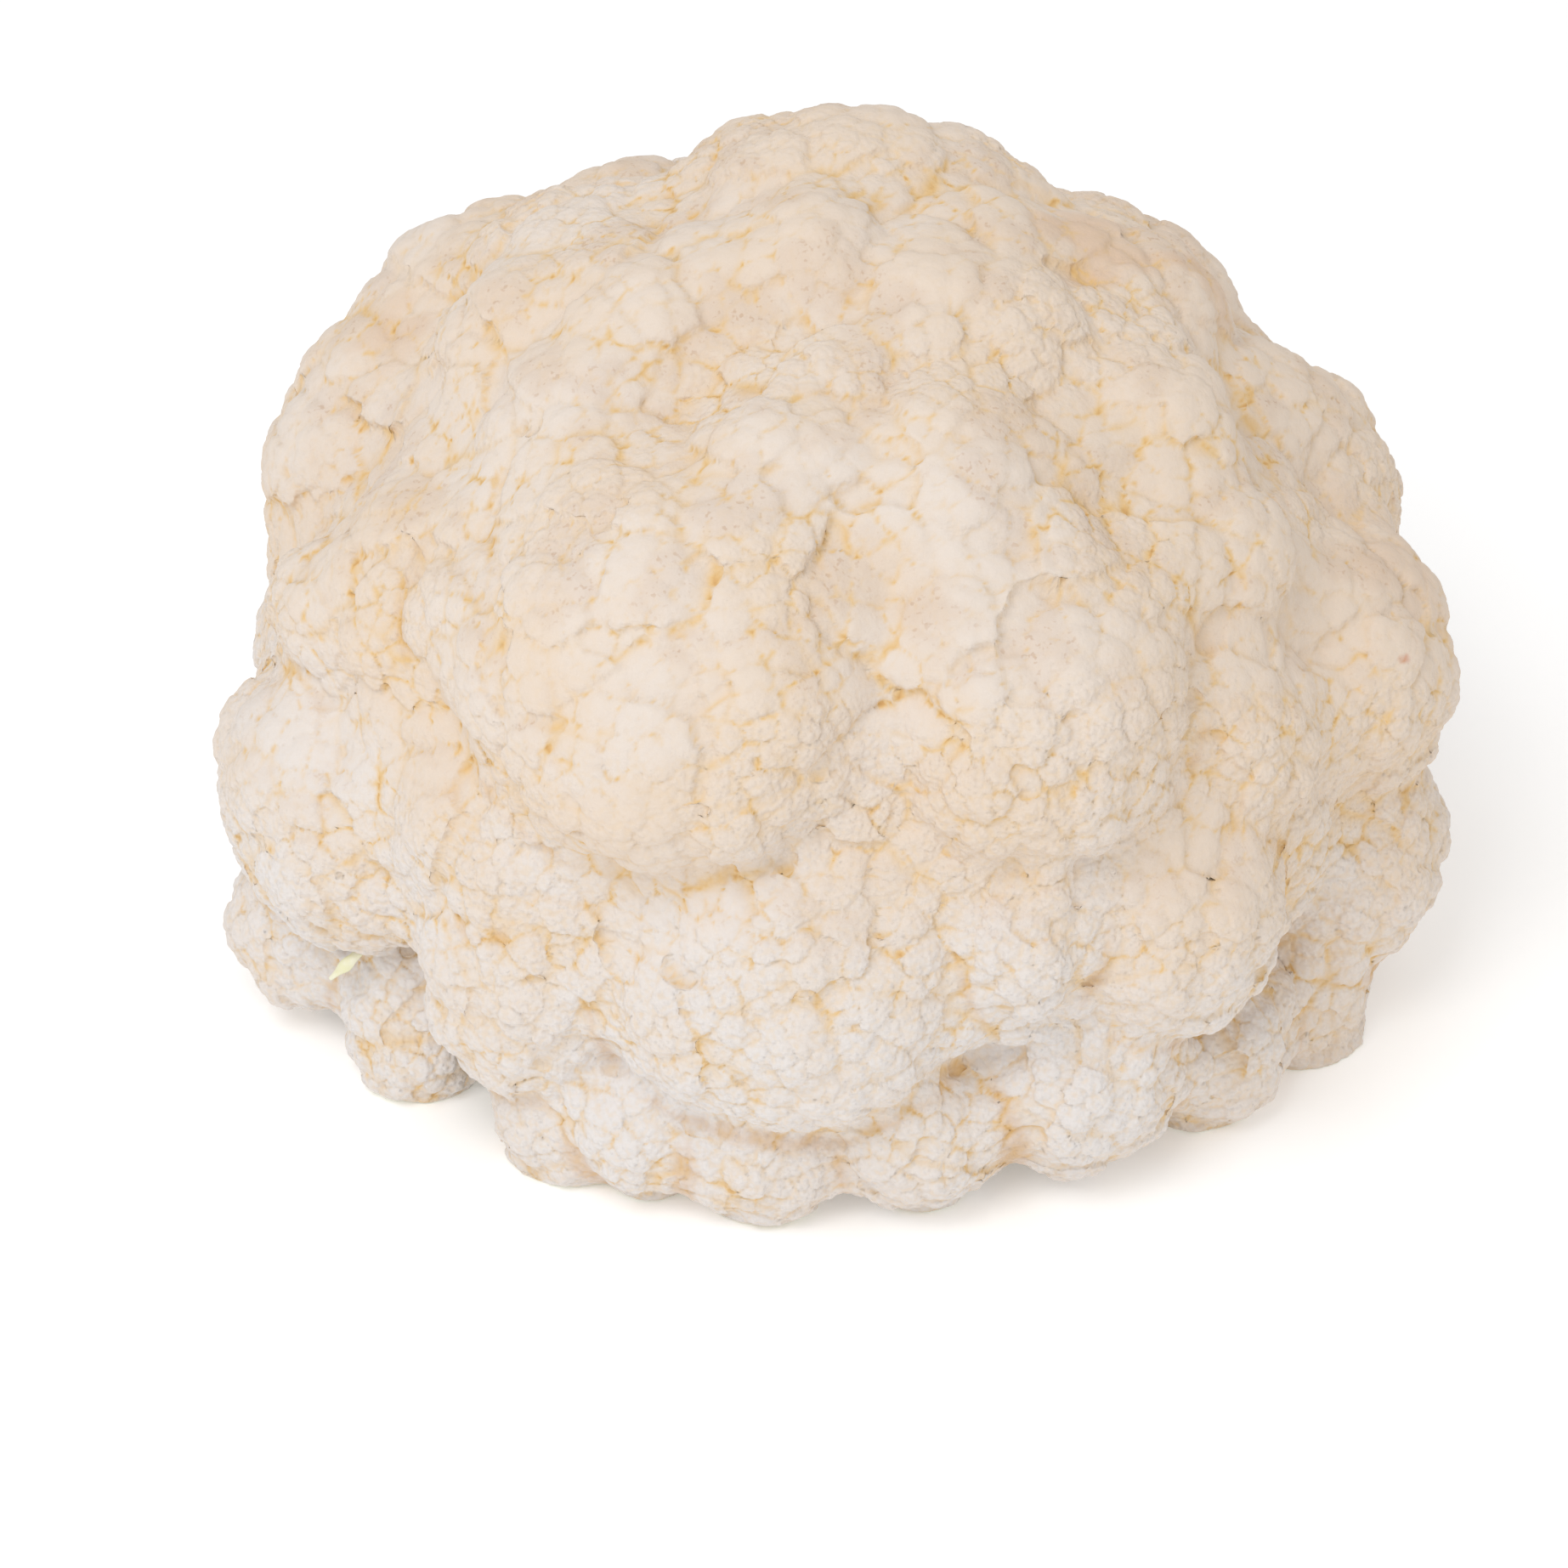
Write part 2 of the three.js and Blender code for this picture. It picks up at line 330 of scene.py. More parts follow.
@dataclass(frozen=True)
class Floret:
    """One dome of curd, an egg whose crown lies on the envelope.

    Attributes:
        name: where it grows.
        azimuth: degrees from the front towards the right.
        elevation: degrees above the belt.
        reach: how far out its crown is, as a share of the envelope.
        across: its half-width in millimetres.
        tall: its half-height along the head's face in millimetres.
        bulge: its half-thickness out of the head in millimetres.
    """

    name: str
    azimuth: float
    elevation: float
    reach: float
    across: float
    tall: float
    bulge: float

    @property
    def crown(self) -> Array:
        """Its outermost place, in metres."""
        return ENVELOPE.point(self.azimuth, self.elevation, self.reach)

    @property
    def axes(self) -> Array:
        """Finds which way it faces.

        Returns:
            Three rows: across, up its face, and out of the head.
        """
        outward = ENVELOPE.normal(self.crown)
        across = np.cross([0.0, 0.0, 1.0], outward)
        across /= np.linalg.norm(across)
        return np.stack([across, np.cross(outward, across), outward])

    @property
    def centre(self) -> Array:
        """Its middle, in metres."""
        return self.crown - self.axes[2] * self.bulge * MM

    @property
    def half_size(self) -> Array:
        """Its half-sizes along its axes, in metres."""
        return np.array([self.across, self.tall, self.bulge]) * MM

    def distance(self, points: Array) -> Array:
        """Measures roughly how far points lie outside its skin.

        Args:
            points: places in metres, one row each.

        Returns:
            The distances in metres, negative inside.
        """
        local = (points - self.centre) @ self.axes.T
        stretch = np.linalg.norm(local / self.half_size, axis=1)
        length = np.linalg.norm(local, axis=1)
        return length * (1.0 - 1.0 / np.maximum(stretch, 1e-6))


# Each branch of the stalk and the florets that it carries:
# name, azimuth, elevation, reach, across, tall, bulge.
BRANCHES: dict[str, tuple[Floret, ...]] = {
    "crown_back": (Floret("crown_back", 170, 74, 1.04, 35, 31, 25),),
    "crown_left": (
        Floret("crown_left", -68, 72, 1.0, 23, 22, 18),
        Floret("crown_left_back", -115, 61, 1.01, 22, 21, 17),
    ),
    "crown_right": (
        Floret("crown_right", 50, 73, 1.01, 23, 22, 18),
        Floret("crown_middle", -15, 85, 1.02, 15, 15, 14),
        Floret("crown_right_back", 102, 77, 1.0, 18, 17, 15),
    ),
    "shoulder_left": (Floret("shoulder_left", -104, 30, 1.02, 25, 25, 20),),
    "shoulder_left_back": (
        Floret("shoulder_left_back", -120, 42, 1.04, 22, 21, 17),
        Floret("shoulder_left_knob", -85, 57, 1.01, 15, 14, 12),
    ),
    "shoulder_right": (
        Floret("shoulder_right", 64, 54, 1.0, 19, 17, 15),
        Floret("shoulder_right_knob", 39, 54, 0.98, 15, 14, 12),
        Floret("shoulder_right_low", 52, 40, 1.0, 21, 20, 17),
    ),
    "shoulder_right_back": (Floret("shoulder_right_back", 102, 59, 1.0, 21, 20, 16),),
    "side_right_ridge": (Floret("side_right_ridge", 100, 27, 0.99, 23, 25, 18),),
    "side_right": (
        Floret("side_right", 73, 15, 1.03, 22, 23, 17),
        Floret("side_right_slope", 47, 20, 0.98, 17, 20, 14),
    ),
    "side_left": (
        Floret("side_left_knob", -71, 24, 1.0, 13, 12, 11),
        Floret("side_left", -62, 33, 1.0, 20, 19, 16),
    ),
    "brow": (
        Floret("brow", -20, 37, 1.1, 35, 33, 26),
        Floret("brow_ridge", -47, 38, 1.0, 13, 18, 12),
    ),
    "brow_top": (
        Floret("brow_top", -8, 56, 1.03, 20, 17, 15),
        Floret("brow_top_left", -50, 56, 1.0, 19, 17, 14),
        Floret("crown_dimple", -5, 68, 0.98, 15, 14, 12),
    ),
    "front_right": (
        Floret("front_right", 23, 33, 1.07, 27, 27, 21),
        Floret("front_right_top", 19, 55, 1.03, 21, 19, 15),
    ),
    "chin": (
        Floret("chin", -5, -3, 1.0, 32, 29, 24),
        Floret("chin_foot_left", -8, -25, 1.02, 15, 14, 13),
        Floret("chin_foot_right", 10, -23, 1.02, 16, 15, 14),
    ),
    "jaw_left": (
        Floret("jaw_left", -34, -9, 0.99, 18, 21, 16),
        Floret("jaw_left_hollow", -36, 11, 0.97, 19, 16, 14),
        Floret("jaw_left_foot", -20, -24, 1.02, 13, 13, 12),
        Floret("jaw_left_heel", -31, -27, 1.02, 14, 12, 12),
    ),
    "jaw_right": (
        Floret("jaw_right", 36, 1, 1.02, 20, 21, 17),
        Floret("jaw_right_knob", 19, 6, 0.98, 12, 15, 11),
        Floret("jaw_right_foot", 27, -20, 1.02, 18, 18, 15),
    ),
    "cheek_left": (
        Floret("cheek_left", -66, 0, 1.03, 28, 24, 21),
        Floret("cheek_left_foot", -72, -21, 1.07, 16, 15, 14),
        Floret("heel_left", -55, -27, 1.02, 14, 15, 13),
    ),
    "cheek_right": (
        Floret("cheek_right", 73, -14, 1.04, 22, 22, 17),
        Floret("cheek_right_foot", 65, -27, 1.06, 15, 13, 12),
        Floret("heel_right", 47, -25, 1.02, 16, 15, 13),
    ),
    "back_left_high": (Floret("back_left_high", -150, 40, 1.0, 28, 25, 20),),
    "back_high": (Floret("back_high", 178, 38, 1.01, 27, 25, 20),),
    "back_right_high": (Floret("back_right_high", 138, 38, 0.99, 29, 26, 20),),
    "back_left_side": (
        Floret("back_left_side", -134, 13, 1.02, 26, 26, 20),
        Floret("back_left_foot", -121, -18, 1.02, 23, 21, 17),
    ),
    "back_left": (
        Floret("back_left", -160, 9, 1.02, 26, 26, 20),
        Floret("back_heel_left", -147, -19, 1.02, 22, 20, 16),
    ),
    "back_right": (
        Floret("back_right", 165, 9, 1.03, 27, 26, 20),
        Floret("back_heel", -171, -18, 1.03, 21, 20, 16),
    ),
    "back_right_side": (
        Floret("back_right_side", 129, 11, 1.01, 28, 27, 20),
        Floret("back_right_foot", 142, -18, 1.03, 22, 20, 16),
        Floret("back_heel_right", 165, -20, 1.02, 20, 19, 16),
    ),
    "flank_left": (
        Floret("flank_left", -103, -1, 0.96, 24, 26, 19),
        Floret("flank_left_foot", -96, -22, 1.02, 20, 18, 16),
    ),
    "flank_right": (
        Floret("flank_right", 103, -1, 1.0, 23, 24, 18),
        Floret("flank_right_foot", 117, -20, 1.02, 22, 19, 16),
        Floret("side_right_foot", 92, -24, 1.03, 18, 16, 14),
    ),
}
ALL_FLORETS = tuple(floret for florets in BRANCHES.values() for floret in florets)


# ---- Granules -------------------------------------------------------------
# As shares of the distance between neighbours:
THINNING_CELL = 0.62  # width of a cell that keeps one seed
LEAST_GAP = 0.72  # least distance between two seeds
GRID_CELL = 1.25  # width of a cell in the grid that seeds are looked up in


class SeedField:
    """Seeds scattered over a surface, and how far other points are from them."""

    def __init__(self, seeds: Array, sizes: Array, cell: float) -> None:
        """Sorts the seeds into a grid of cells.

        Args:
            seeds: their places, one row each.
            sizes: the relative size of the granule round each seed.
            cell: width of a grid cell, at least the largest distance that matters.
        """
        self.cell = cell
        self.low = seeds.min(axis=0) - 2.0 * cell
        self.shape = np.ceil((seeds.max(axis=0) + 2.0 * cell - self.low) / cell).astype(int) + 1
        keys = self._keys(self._cells(seeds))
        order = np.argsort(keys, kind="stable")
        self.seeds = seeds[order].astype(np.float32)
        self.sizes = sizes[order].astype(np.float32)
        self.order = order
        self.count = np.bincount(keys, minlength=int(np.prod(self.shape)))
        self.start = np.cumsum(self.count) - self.count

    def _cells(self, points: Array) -> Array:
        """Finds the grid cell of each point, kept one cell inside the grid's edge."""
        cells = np.floor((points - self.low) / self.cell).astype(int)
        return np.clip(cells, 1, self.shape - 2)

    def _keys(self, cells: Array) -> Array:
        """One number for each grid cell."""
        return (cells[:, 0] * self.shape[1] + cells[:, 1]) * self.shape[2] + cells[:, 2]

    def _neighbours(self, points: Array) -> Iterator[tuple[Array, Array]]:
        """Pairs points with the seeds of their own and the surrounding grid cells.

        Args:
            points: places, one row each.

        Yields:
            The rows of some points, and the row of a seed near each.
        """
        keys = self._keys(self._cells(points))
        steps = (-1, 0, 1)
        offsets = [
            (x * self.shape[1] + y) * self.shape[2] + z
            for x in steps
            for y in steps
            for z in steps
        ]
        for offset in offsets:
            start = self.start[keys + offset]
            count = self.count[keys + offset]
            for slot in range(int(count.max())):
                rows = np.flatnonzero(count > slot)
                yield rows, start[rows] + slot

    def nearest_two(self, points: Array) -> tuple[Array, Array, Array]:
        """Distances to the nearest two seeds, each divided by its granule's size.

        Args:
            points: places, one row each.

        Returns:
            The nearest distance, the next one, and the row of the nearest seed.
        """
        points = points.astype(np.float32)
        near = np.full(len(points), 1.5 * self.cell, np.float32)
        following = near.copy()
        nearest = np.zeros(len(points), int)
        for rows, seeds in self._neighbours(points):
            gap = points[rows] - self.seeds[seeds]
            distance = np.sqrt(np.einsum("ij,ij->i", gap, gap)) / self.sizes[seeds]
            first = distance < near[rows]
            closer = rows[first]
            following[closer] = near[closer]
            near[closer] = distance[first]
            nearest[closer] = seeds[first]
            second = ~first & (distance < following[rows])
            following[rows[second]] = distance[second]
        return near, following, nearest

    def crowded(self, gap: float) -> Array:
        """Finds the seeds that have an earlier one too close.

        Args:
            gap: the least distance between two seeds.

        Returns:
            One truth value for each seed, in the order that they came in.
        """
        close = np.zeros(len(self.seeds), bool)
        for rows, seeds in self._neighbours(self.seeds.astype(float)):
            apart = np.linalg.norm(self.seeds[rows] - self.seeds[seeds], axis=1)
            earlier = self.order[seeds] < self.order[rows]
            close[rows[(apart < gap) & earlier]] = True
        result = np.empty_like(close)
        result[self.order] = close
        return result


def scatter(points: Array, spacing: float, draw: np.random.Generator) -> Array:
    """Picks points that are about evenly spaced.

    Args:
        points: the places to pick from.
        spacing: the distance between neighbours.
        draw: the source of chance.

    Returns:
        The places picked, in a random order.
    """
    shuffled = points[draw.permutation(len(points))]
    cells = np.floor(shuffled / (spacing * THINNING_CELL)).astype(np.int64)
    cells -= cells.min(axis=0)
    spans = cells.max(axis=0) + 1
    keys = (cells[:, 0] * spans[1] + cells[:, 1]) * spans[2] + cells[:, 2]
    _, first = np.unique(keys, return_index=True)
    seeds = shuffled[np.sort(first)]
    crowd = SeedField(seeds, np.ones(len(seeds)), spacing)
    return seeds[~crowd.crowded(LEAST_GAP * spacing)]


@dataclass(frozen=True)
class Grain:
    """One generation of granules, from lobes down to the finest beads.

    Attributes:
        spacing: distance between neighbours in millimetres.
        height: how far a crisp granule stands above its crevices, in millimetres.
        calm_height: the same where the curd is smooth.
        boxiness: 2 gives round granules; more gives flat ones with narrow cracks.
        variation: spread of sizes, as a share.
        tint: how strongly the painted shade in its crevices darkens the curd.
    """

    spacing: float
    height: float
    calm_height: float
    boxiness: float
    variation: float
    tint: float


SUBFLORETS = Grain(19.0, 2.2, 4.3, 1.9, 0.25, 0.4)
LOBES = Grain(9.5, 1.9, 1.4, 1.7, 0.28, 0.8)
GRANULES = Grain(3.9, 1.0, 0.52, 1.6, 0.3, 1.0)
GRAINS = Grain(1.9, 0.32, 0.14, 1.7, 0.25, 0.35)
BEADS = Grain(0.95, 0.26, 0.07, 1.8, 0.2, 0.2)
GENERATIONS = (SUBFLORETS, LOBES, GRANULES, GRAINS, BEADS)
DEEPEST = 0.91  # how deep a gap between florets reaches, as a share of the envelope
FULL_REACH = 0.95  # how far a granule's round crown reaches, as a share of the spacing
ROUNDNESS = 0.6  # 1 leaves only the round crowns, 0 only the crevices between granules
GATHERING = 0.3  # how far a lobe's edge is drawn to the edges of its granules
CROWN_SHARE = 0.85  # of a granule's height that lies under the resting skin
SHALLOW = 0.4  # how far a crevice counts as deep close to a granule's middle


class GrainField:
    """One generation of granules, scattered over the resting skin."""

    def __init__(self, grain: Grain, rest: Array, draw: np.random.Generator) -> None:
        """Scatters the granules.

        Args:
            grain: their size and shape.
            rest: places on the resting skin to pick from.
            draw: the source of chance.
        """
        self.grain = grain
        seeds = scatter(rest, grain.spacing * MM, draw)
        sizes = 1.0 + grain.variation * draw.uniform(-1.0, 1.0, len(seeds))
        self.grid = SeedField(seeds, sizes, grain.spacing * MM * GRID_CELL)

    def gather(self, places: Array, share: float) -> Array:
        """Draws places towards the middles of their granules, so coarser ones part between them.

        Args:
            places: on the resting skin.
            share: how far they are drawn, from 0 to 1.

        Returns:
            The drawn places.
        """
        _, _, nearest = self.grid.nearest_two(places)
        return places + share * (self.grid.seeds[nearest] - places)

    def raise_surface(
        self, mesh: bpy.types.Mesh, places: Array, crisp: Array, strength: Array
    ) -> Array:
        """Grows the granules on a mesh.

        Args:
            mesh: the mesh, whose vertices are moved outwards.
            places: where each vertex lies on the resting skin.
            crisp: from 0, smooth, to 1, crisp, for each vertex.
            strength: a further factor on the height, for each vertex.

        Returns:
            How deep each vertex lies in a crevice, from 0 on a crown to 1 where granules meet.
        """
        grain = self.grain
        near, following, nearest = self.grid.nearest_two(places)
        edge = (following - near) / np.maximum(following + near, 1e-9)
        power = grain.boxiness + (1.0 - crisp)
        walled = (1.0 - (1.0 - edge) ** power) ** (1.0 / power)
        reach = np.minimum(near / (FULL_REACH * grain.spacing * MM), 1.0) ** 2
        dome = ROUNDNESS * (1.0 - reach) + (1.0 - ROUNDNESS) * walled
        height = grain.calm_height + (grain.height - grain.calm_height) * crisp
        lift = (dome - CROWN_SHARE) * height * self.grid.sizes[nearest] * strength * MM
        points = read_vertices(mesh) + read_vertices(mesh, "normal") * lift[:, None]
        write_vertices(mesh, points)
        away = np.minimum(2.0 * reach, 1.0)
        return (1.0 - walled) ** 2 * (SHALLOW + (1.0 - SHALLOW) * away)


# ---- Finishes -------------------------------------------------------------
Colour = tuple[float, float, float]
Socket = bpy.types.NodeSocket


class Nodes:
    """Builds the nodes of one material."""

    def __init__(self, name: str) -> None:
        """Starts a material with only its shader and its output.

        Args:
            name: the material's name.
        """
        self.material = bpy.data.materials.new(name)
        self.material.use_nodes = True
        self.tree = self.material.node_tree
        self.shader = self.tree.nodes["Principled BSDF"]

    def add(self, kind: str, **settings: object) -> bpy.types.Node:
        """Adds a node.

        Args:
            kind: the node's type.
            settings: its properties by name.

        Returns:
            The node.
        """
        node = self.tree.nodes.new(kind)
        for name, value in settings.items():
            setattr(node, name, value)
        return node

    def link(self, source: Socket, target: Socket) -> None:
        """Joins an output to an input."""
        self.tree.links.new(source, target)

    def attribute(self, name: str) -> Socket:
        """A number stored on the vertices."""
        return self.add("ShaderNodeAttribute", attribute_name=name).outputs["Fac"]

    def place(self) -> Socket:
        """The place on the object, in metres."""
        return self.add("ShaderNodeTexCoord").outputs["Object"]

    def noise(self, size: float, detail: float = 3.0, roughness: float = 0.55) -> Socket:
        """Adds soft noise.

        Args:
            size: of its bumps, in millimetres.
            detail: how many finer layers it has.
            roughness: how strong the finer layers are.

        Returns:
            The socket of the noise, from 0 to 1.
        """
        node = self.add("ShaderNodeTexNoise")
        node.inputs["Scale"].default_value = 1.0 / (size * MM)
        node.inputs["Detail"].default_value = detail
        node.inputs["Roughness"].default_value = roughness
        self.link(self.place(), node.inputs["Vector"])
        return node.outputs["Fac"]

    def cells(self, size: float, feature: str = "F1") -> Socket:
        """Adds a pattern of cells.

        Args:
            size: of a cell, in millimetres.
            feature: which distance is measured inside a cell.

        Returns:
            The socket of the distance, as a share of the size.
        """
        node = self.add("ShaderNodeTexVoronoi", feature=feature)
        node.inputs["Scale"].default_value = 1.0 / (size * MM)
        self.link(self.place(), node.inputs["Vector"])
        return node.outputs["Distance"]

    def remap(
        self, value: Socket, low: float, high: float, to_low: float = 0.0, to_high: float = 1.0
    ) -> Socket:
        """Stretches a value from one range to another, and clamps it.

        Args:
            value: the value's socket.
            low: what becomes to_low.
            high: what becomes to_high.
            to_low: the result at low.
            to_high: the result at high.

        Returns:
            The socket of the result.
        """
        node = self.add("ShaderNodeMapRange", interpolation_type="SMOOTHSTEP")
        self.link(value, node.inputs["Value"])
        node.inputs["From Min"].default_value = low
        node.inputs["From Max"].default_value = high
        node.inputs["To Min"].default_value = to_low
        node.inputs["To Max"].default_value = to_high
        return node.outputs["Result"]

    def maths(self, operation: str, first: Socket | float, second: Socket | float) -> Socket:
        """Joins two values by one operation.

        Args:
            operation: such as "ADD" or "MULTIPLY".
            first: the first value.
            second: the second value.

        Returns:
            The socket of the result.
        """
        node = self.add("ShaderNodeMath", operation=operation)
        for value, socket in zip((first, second), node.inputs):
            if isinstance(value, Socket):
                self.link(value, socket)
            else:
                socket.default_value = value
        return node.outputs["Value"]

    def blend(self, share: Socket, first: Socket | Colour, second: Socket | Colour) -> Socket:
        """Mixes two colours.

        Args:
            share: how much of the second colour.
            first: the first colour.
            second: the second colour.

        Returns:
            The socket of the mixed colour.
        """
        node = self.add("ShaderNodeMix", data_type="RGBA")
        self.link(share, node.inputs["Factor"])
        for value, name in ((first, "A"), (second, "B")):
            socket = [s for s in node.inputs if s.name == name and s.type == "RGBA"][0]
            if isinstance(value, Socket):
                self.link(value, socket)
            else:
                socket.default_value = (*value, 1.0)
        return [s for s in node.outputs if s.type == "RGBA"][0]

    def bump(self, height: Socket, depth: float, normal: Socket | None = None) -> Socket:
        """Adds fine relief.

        Args:
            height: its height, as a share of the depth.
            depth: in millimetres.
            normal: an earlier relief that it lies over.

        Returns:
            The socket of the relief.
        """
        node = self.add("ShaderNodeBump")
        node.inputs["Distance"].default_value = depth * MM
        node.inputs["Strength"].default_value = 1.0
        self.link(height, node.inputs["Height"])
        if normal is not None:
            self.link(normal, node.inputs["Normal"])
        return node.outputs["Normal"]


# What each pattern is stretched from, its low and high, and to, its low and high:
MOTTLE = (0.35, 0.65, -0.18, 0.18)
# Painted shade in the hollows between the finest beads, where the curd is crisp.
PAINTED_BEAD_SHADE = (0.35, 0.75, 0.0, 0.22)
FROST = (0.1, 0.8, 0.25, 1.0)
# Painted shade in the cracks between granules: ochre, and dark brown in the deepest.
PAINTED_CRACK_SHADE = (0.05, 0.8, 0.0, 0.85)
PAINTED_DEEP_CRACK_SHADE = (0.6, 1.1, 0.0, 0.6)
# Painted shade close to where one floret meets the next.
PAINTED_GAP_SHADE = (0.35, 1.0, 0.0, 0.3)
FIBRES = (0.35, 0.7)
GREEN_PATCHES = (0.3, 0.7)
SPECKS = (0.58, 0.70)
SPECK_PATCHES = (0.48, 0.64)
LEAF_PATCHES = (0.35, 0.65)
# Sizes and depths of patterns, in millimetres:
MOTTLE_SIZE = 24.0
BEAD_SIZE = 0.9
BEAD_DEPTH = -0.34
PORE_SIZE = 0.45
PORE_DEPTH = 0.07
FIBRE_SIZE = 5.0
GREEN_SIZE = 12.0
SPECK_SIZE = 1.1
SPECK_PATCH_SIZE = 13.0
LEAF_PATCH_SIZE = 2.5
VEIN_SIZE = 0.8
VEIN_DEPTH = 0.1
# How strongly the freckles show:
SPECK_SHARE = 0.42
TAN_SHARE = 0.16


@dataclass(frozen=True)
class CurdFinish:
    """The matt, creamy curd.

    Attributes:
        cream: the tanner curd on top, also used for the painted shade towards the right.
        pale: the whiter curd low down.
        crevice_shade: painted shade and bounce light in the crevices, an ochre tint.
        deep: painted shade in the deepest cracks and where florets meet, dark brown.
        freckle: the tan specks on top.
        scorch: the browned patch.
        sore: the few small orange dots.
        stem: the smooth branches.
        stem_green: their greener patches.
        cut: the level cut face.
        cut_dry: the dry patches of the cut face.
        roughness: how matt it is.
    """

    cream: Colour = (0.77, 0.645, 0.53)
    pale: Colour = (0.775, 0.735, 0.712)
    crevice_shade: Colour = (0.77, 0.51, 0.20)
    deep: Colour = (0.58, 0.29, 0.07)
    freckle: Colour = (0.50, 0.31, 0.18)
    scorch: Colour = (0.62, 0.34, 0.15)
    sore: Colour = (0.55, 0.17, 0.07)
    stem: Colour = (0.76, 0.74, 0.56)
    stem_green: Colour = (0.66, 0.70, 0.44)
    cut: Colour = (0.80, 0.77, 0.62)
    cut_dry: Colour = (0.66, 0.54, 0.34)
    roughness: float = 0.72

    def material(self) -> bpy.types.Material:
        """Makes the curd's material.

        Returns:
            The material.
        """
        nodes = Nodes("curd")
        mottle = nodes.remap(nodes.noise(MOTTLE_SIZE), *MOTTLE)
        # The curd's own tone, tanner on top, with painted shade towards the right side.
        warmth_and_shade = nodes.maths("ADD", nodes.attribute("warmth_and_shade"), mottle)
        colour = nodes.blend(nodes.remap(warmth_and_shade, 0.0, 1.0), self.pale, self.cream)
        colour = self._add_freckles(nodes, colour)
        colour = nodes.blend(nodes.attribute("scorch"), colour, self.scorch)
        # Painted shade in the hollows between the finest beads, where the curd is crisp.
        between = nodes.remap(nodes.cells(BEAD_SIZE, "SMOOTH_F1"), *PAINTED_BEAD_SHADE)
        frost = nodes.remap(nodes.attribute("crisp"), *FROST)
        colour = nodes.blend(nodes.maths("MULTIPLY", between, frost), colour, self.crevice_shade)
        # Painted shade in the cracks: ochre, then dark brown where they are deepest.
        crack_shade = nodes.attribute("crack_shade")
        colour = nodes.blend(nodes.remap(crack_shade, *PAINTED_CRACK_SHADE), colour, self.crevice_shade)
        colour = nodes.blend(nodes.remap(crack_shade, *PAINTED_DEEP_CRACK_SHADE), colour, self.deep)
        # Painted shade where florets meet, from the distance to the next floret.
        gap = nodes.remap(nodes.attribute("gap"), *PAINTED_GAP_SHADE)
        colour = nodes.blend(gap, colour, self.deep)
        colour = nodes.blend(nodes.attribute("sore"), colour, self.sore)
        colour = nodes.blend(nodes.attribute("stem"), colour, self._stem_colour(nodes))
        nodes.link(colour, nodes.shader.inputs["Base Color"])
        beads = nodes.maths("MULTIPLY", nodes.cells(BEAD_SIZE, "SMOOTH_F1"), frost)
        normal = nodes.bump(beads, BEAD_DEPTH)
        normal = nodes.bump(nodes.noise(PORE_SIZE, detail=2.0), PORE_DEPTH, normal)
        nodes.link(normal, nodes.shader.inputs["Normal"])
        nodes.shader.inputs["Roughness"].default_value = self.roughness
        return nodes.material

    def _stem_colour(self, nodes: Nodes) -> Socket:
        """Mixes the pale green stalk, whose cut face is drier and browner in patches.

        Args:
            nodes: the material's nodes.

        Returns:
            The socket of the colour.
        """
        fibres = nodes.remap(nodes.noise(FIBRE_SIZE, detail=4.0), *FIBRES)
        cut = nodes.blend(fibres, self.cut, self.cut_dry)
        green = nodes.remap(nodes.noise(GREEN_SIZE), *GREEN_PATCHES)
        flesh = nodes.blend(green, self.stem, self.stem_green)
        return nodes.blend(nodes.attribute("cut"), flesh, cut)

    def _add_freckles(self, nodes: Nodes, colour: Socket) -> Socket:
        """Adds tan specks, thicker in patches, where the curd faces up.

        Args:
            nodes: the material's nodes.
            colour: the curd's colour.

        Returns:
            The socket of the colour with its specks.
        """
        specks = nodes.remap(nodes.noise(SPECK_SIZE, detail=1.5, roughness=0.7), *SPECKS)
        patches = nodes.remap(nodes.noise(SPECK_PATCH_SIZE, detail=2.0), *SPECK_PATCHES)
        share = nodes.maths("MULTIPLY", specks, patches)
        share = nodes.maths("MULTIPLY", share, nodes.attribute("weathered"))
        share = nodes.maths("MULTIPLY", share, SPECK_SHARE)
        colour = nodes.blend(share, colour, self.freckle)
        tan = nodes.maths("MULTIPLY", patches, nodes.attribute("weathered"))
        return nodes.blend(nodes.maths("MULTIPLY", tan, TAN_SHARE), colour, self.freckle)


@dataclass(frozen=True)
class LeafFinish:
    """The thin pale leaf.

    Attributes:
        tip: the yellow-green blade.
        root: the paler root.
        roughness: how matt it is.
    """

    tip: Colour = (0.80, 0.79, 0.52)
    root: Colour = (0.85, 0.84, 0.67)
    roughness: float = 0.5

    def material(self) -> bpy.types.Material:
        """Makes the leaf's material.

        Returns:
            The material.
        """
        nodes = Nodes("leaf")
        patches = nodes.remap(nodes.noise(LEAF_PATCH_SIZE), *LEAF_PATCHES)
        colour = nodes.blend(patches, self.tip, self.root)
        nodes.link(colour, nodes.shader.inputs["Base Color"])
        veins = nodes.bump(nodes.noise(VEIN_SIZE), VEIN_DEPTH)
        nodes.link(veins, nodes.shader.inputs["Normal"])
        nodes.shader.inputs["Roughness"].default_value = self.roughness
        return nodes.material


# ---- Curd -----------------------------------------------------------------
STALK = "stalk"
FLATTENING = 0.5  # how much of the depth to a blemish is left out of the distance to it
RAGGEDNESS = 0.35  # of a blemish's edge, as a share of its radius
RAGGED_WAVE = 0.7  # size of the waves in that edge, as a share of its radius
RAGGED_SEED = 3
BLEMISH_EDGE: Range = (1.0, 0.35)  # where a blemish starts and is full, as shares of its radius


class Mark(Enum):
    """Kinds of blemish, named as the colour share that shows them."""

    SCORCH = "scorch"
    SORE = "sore"


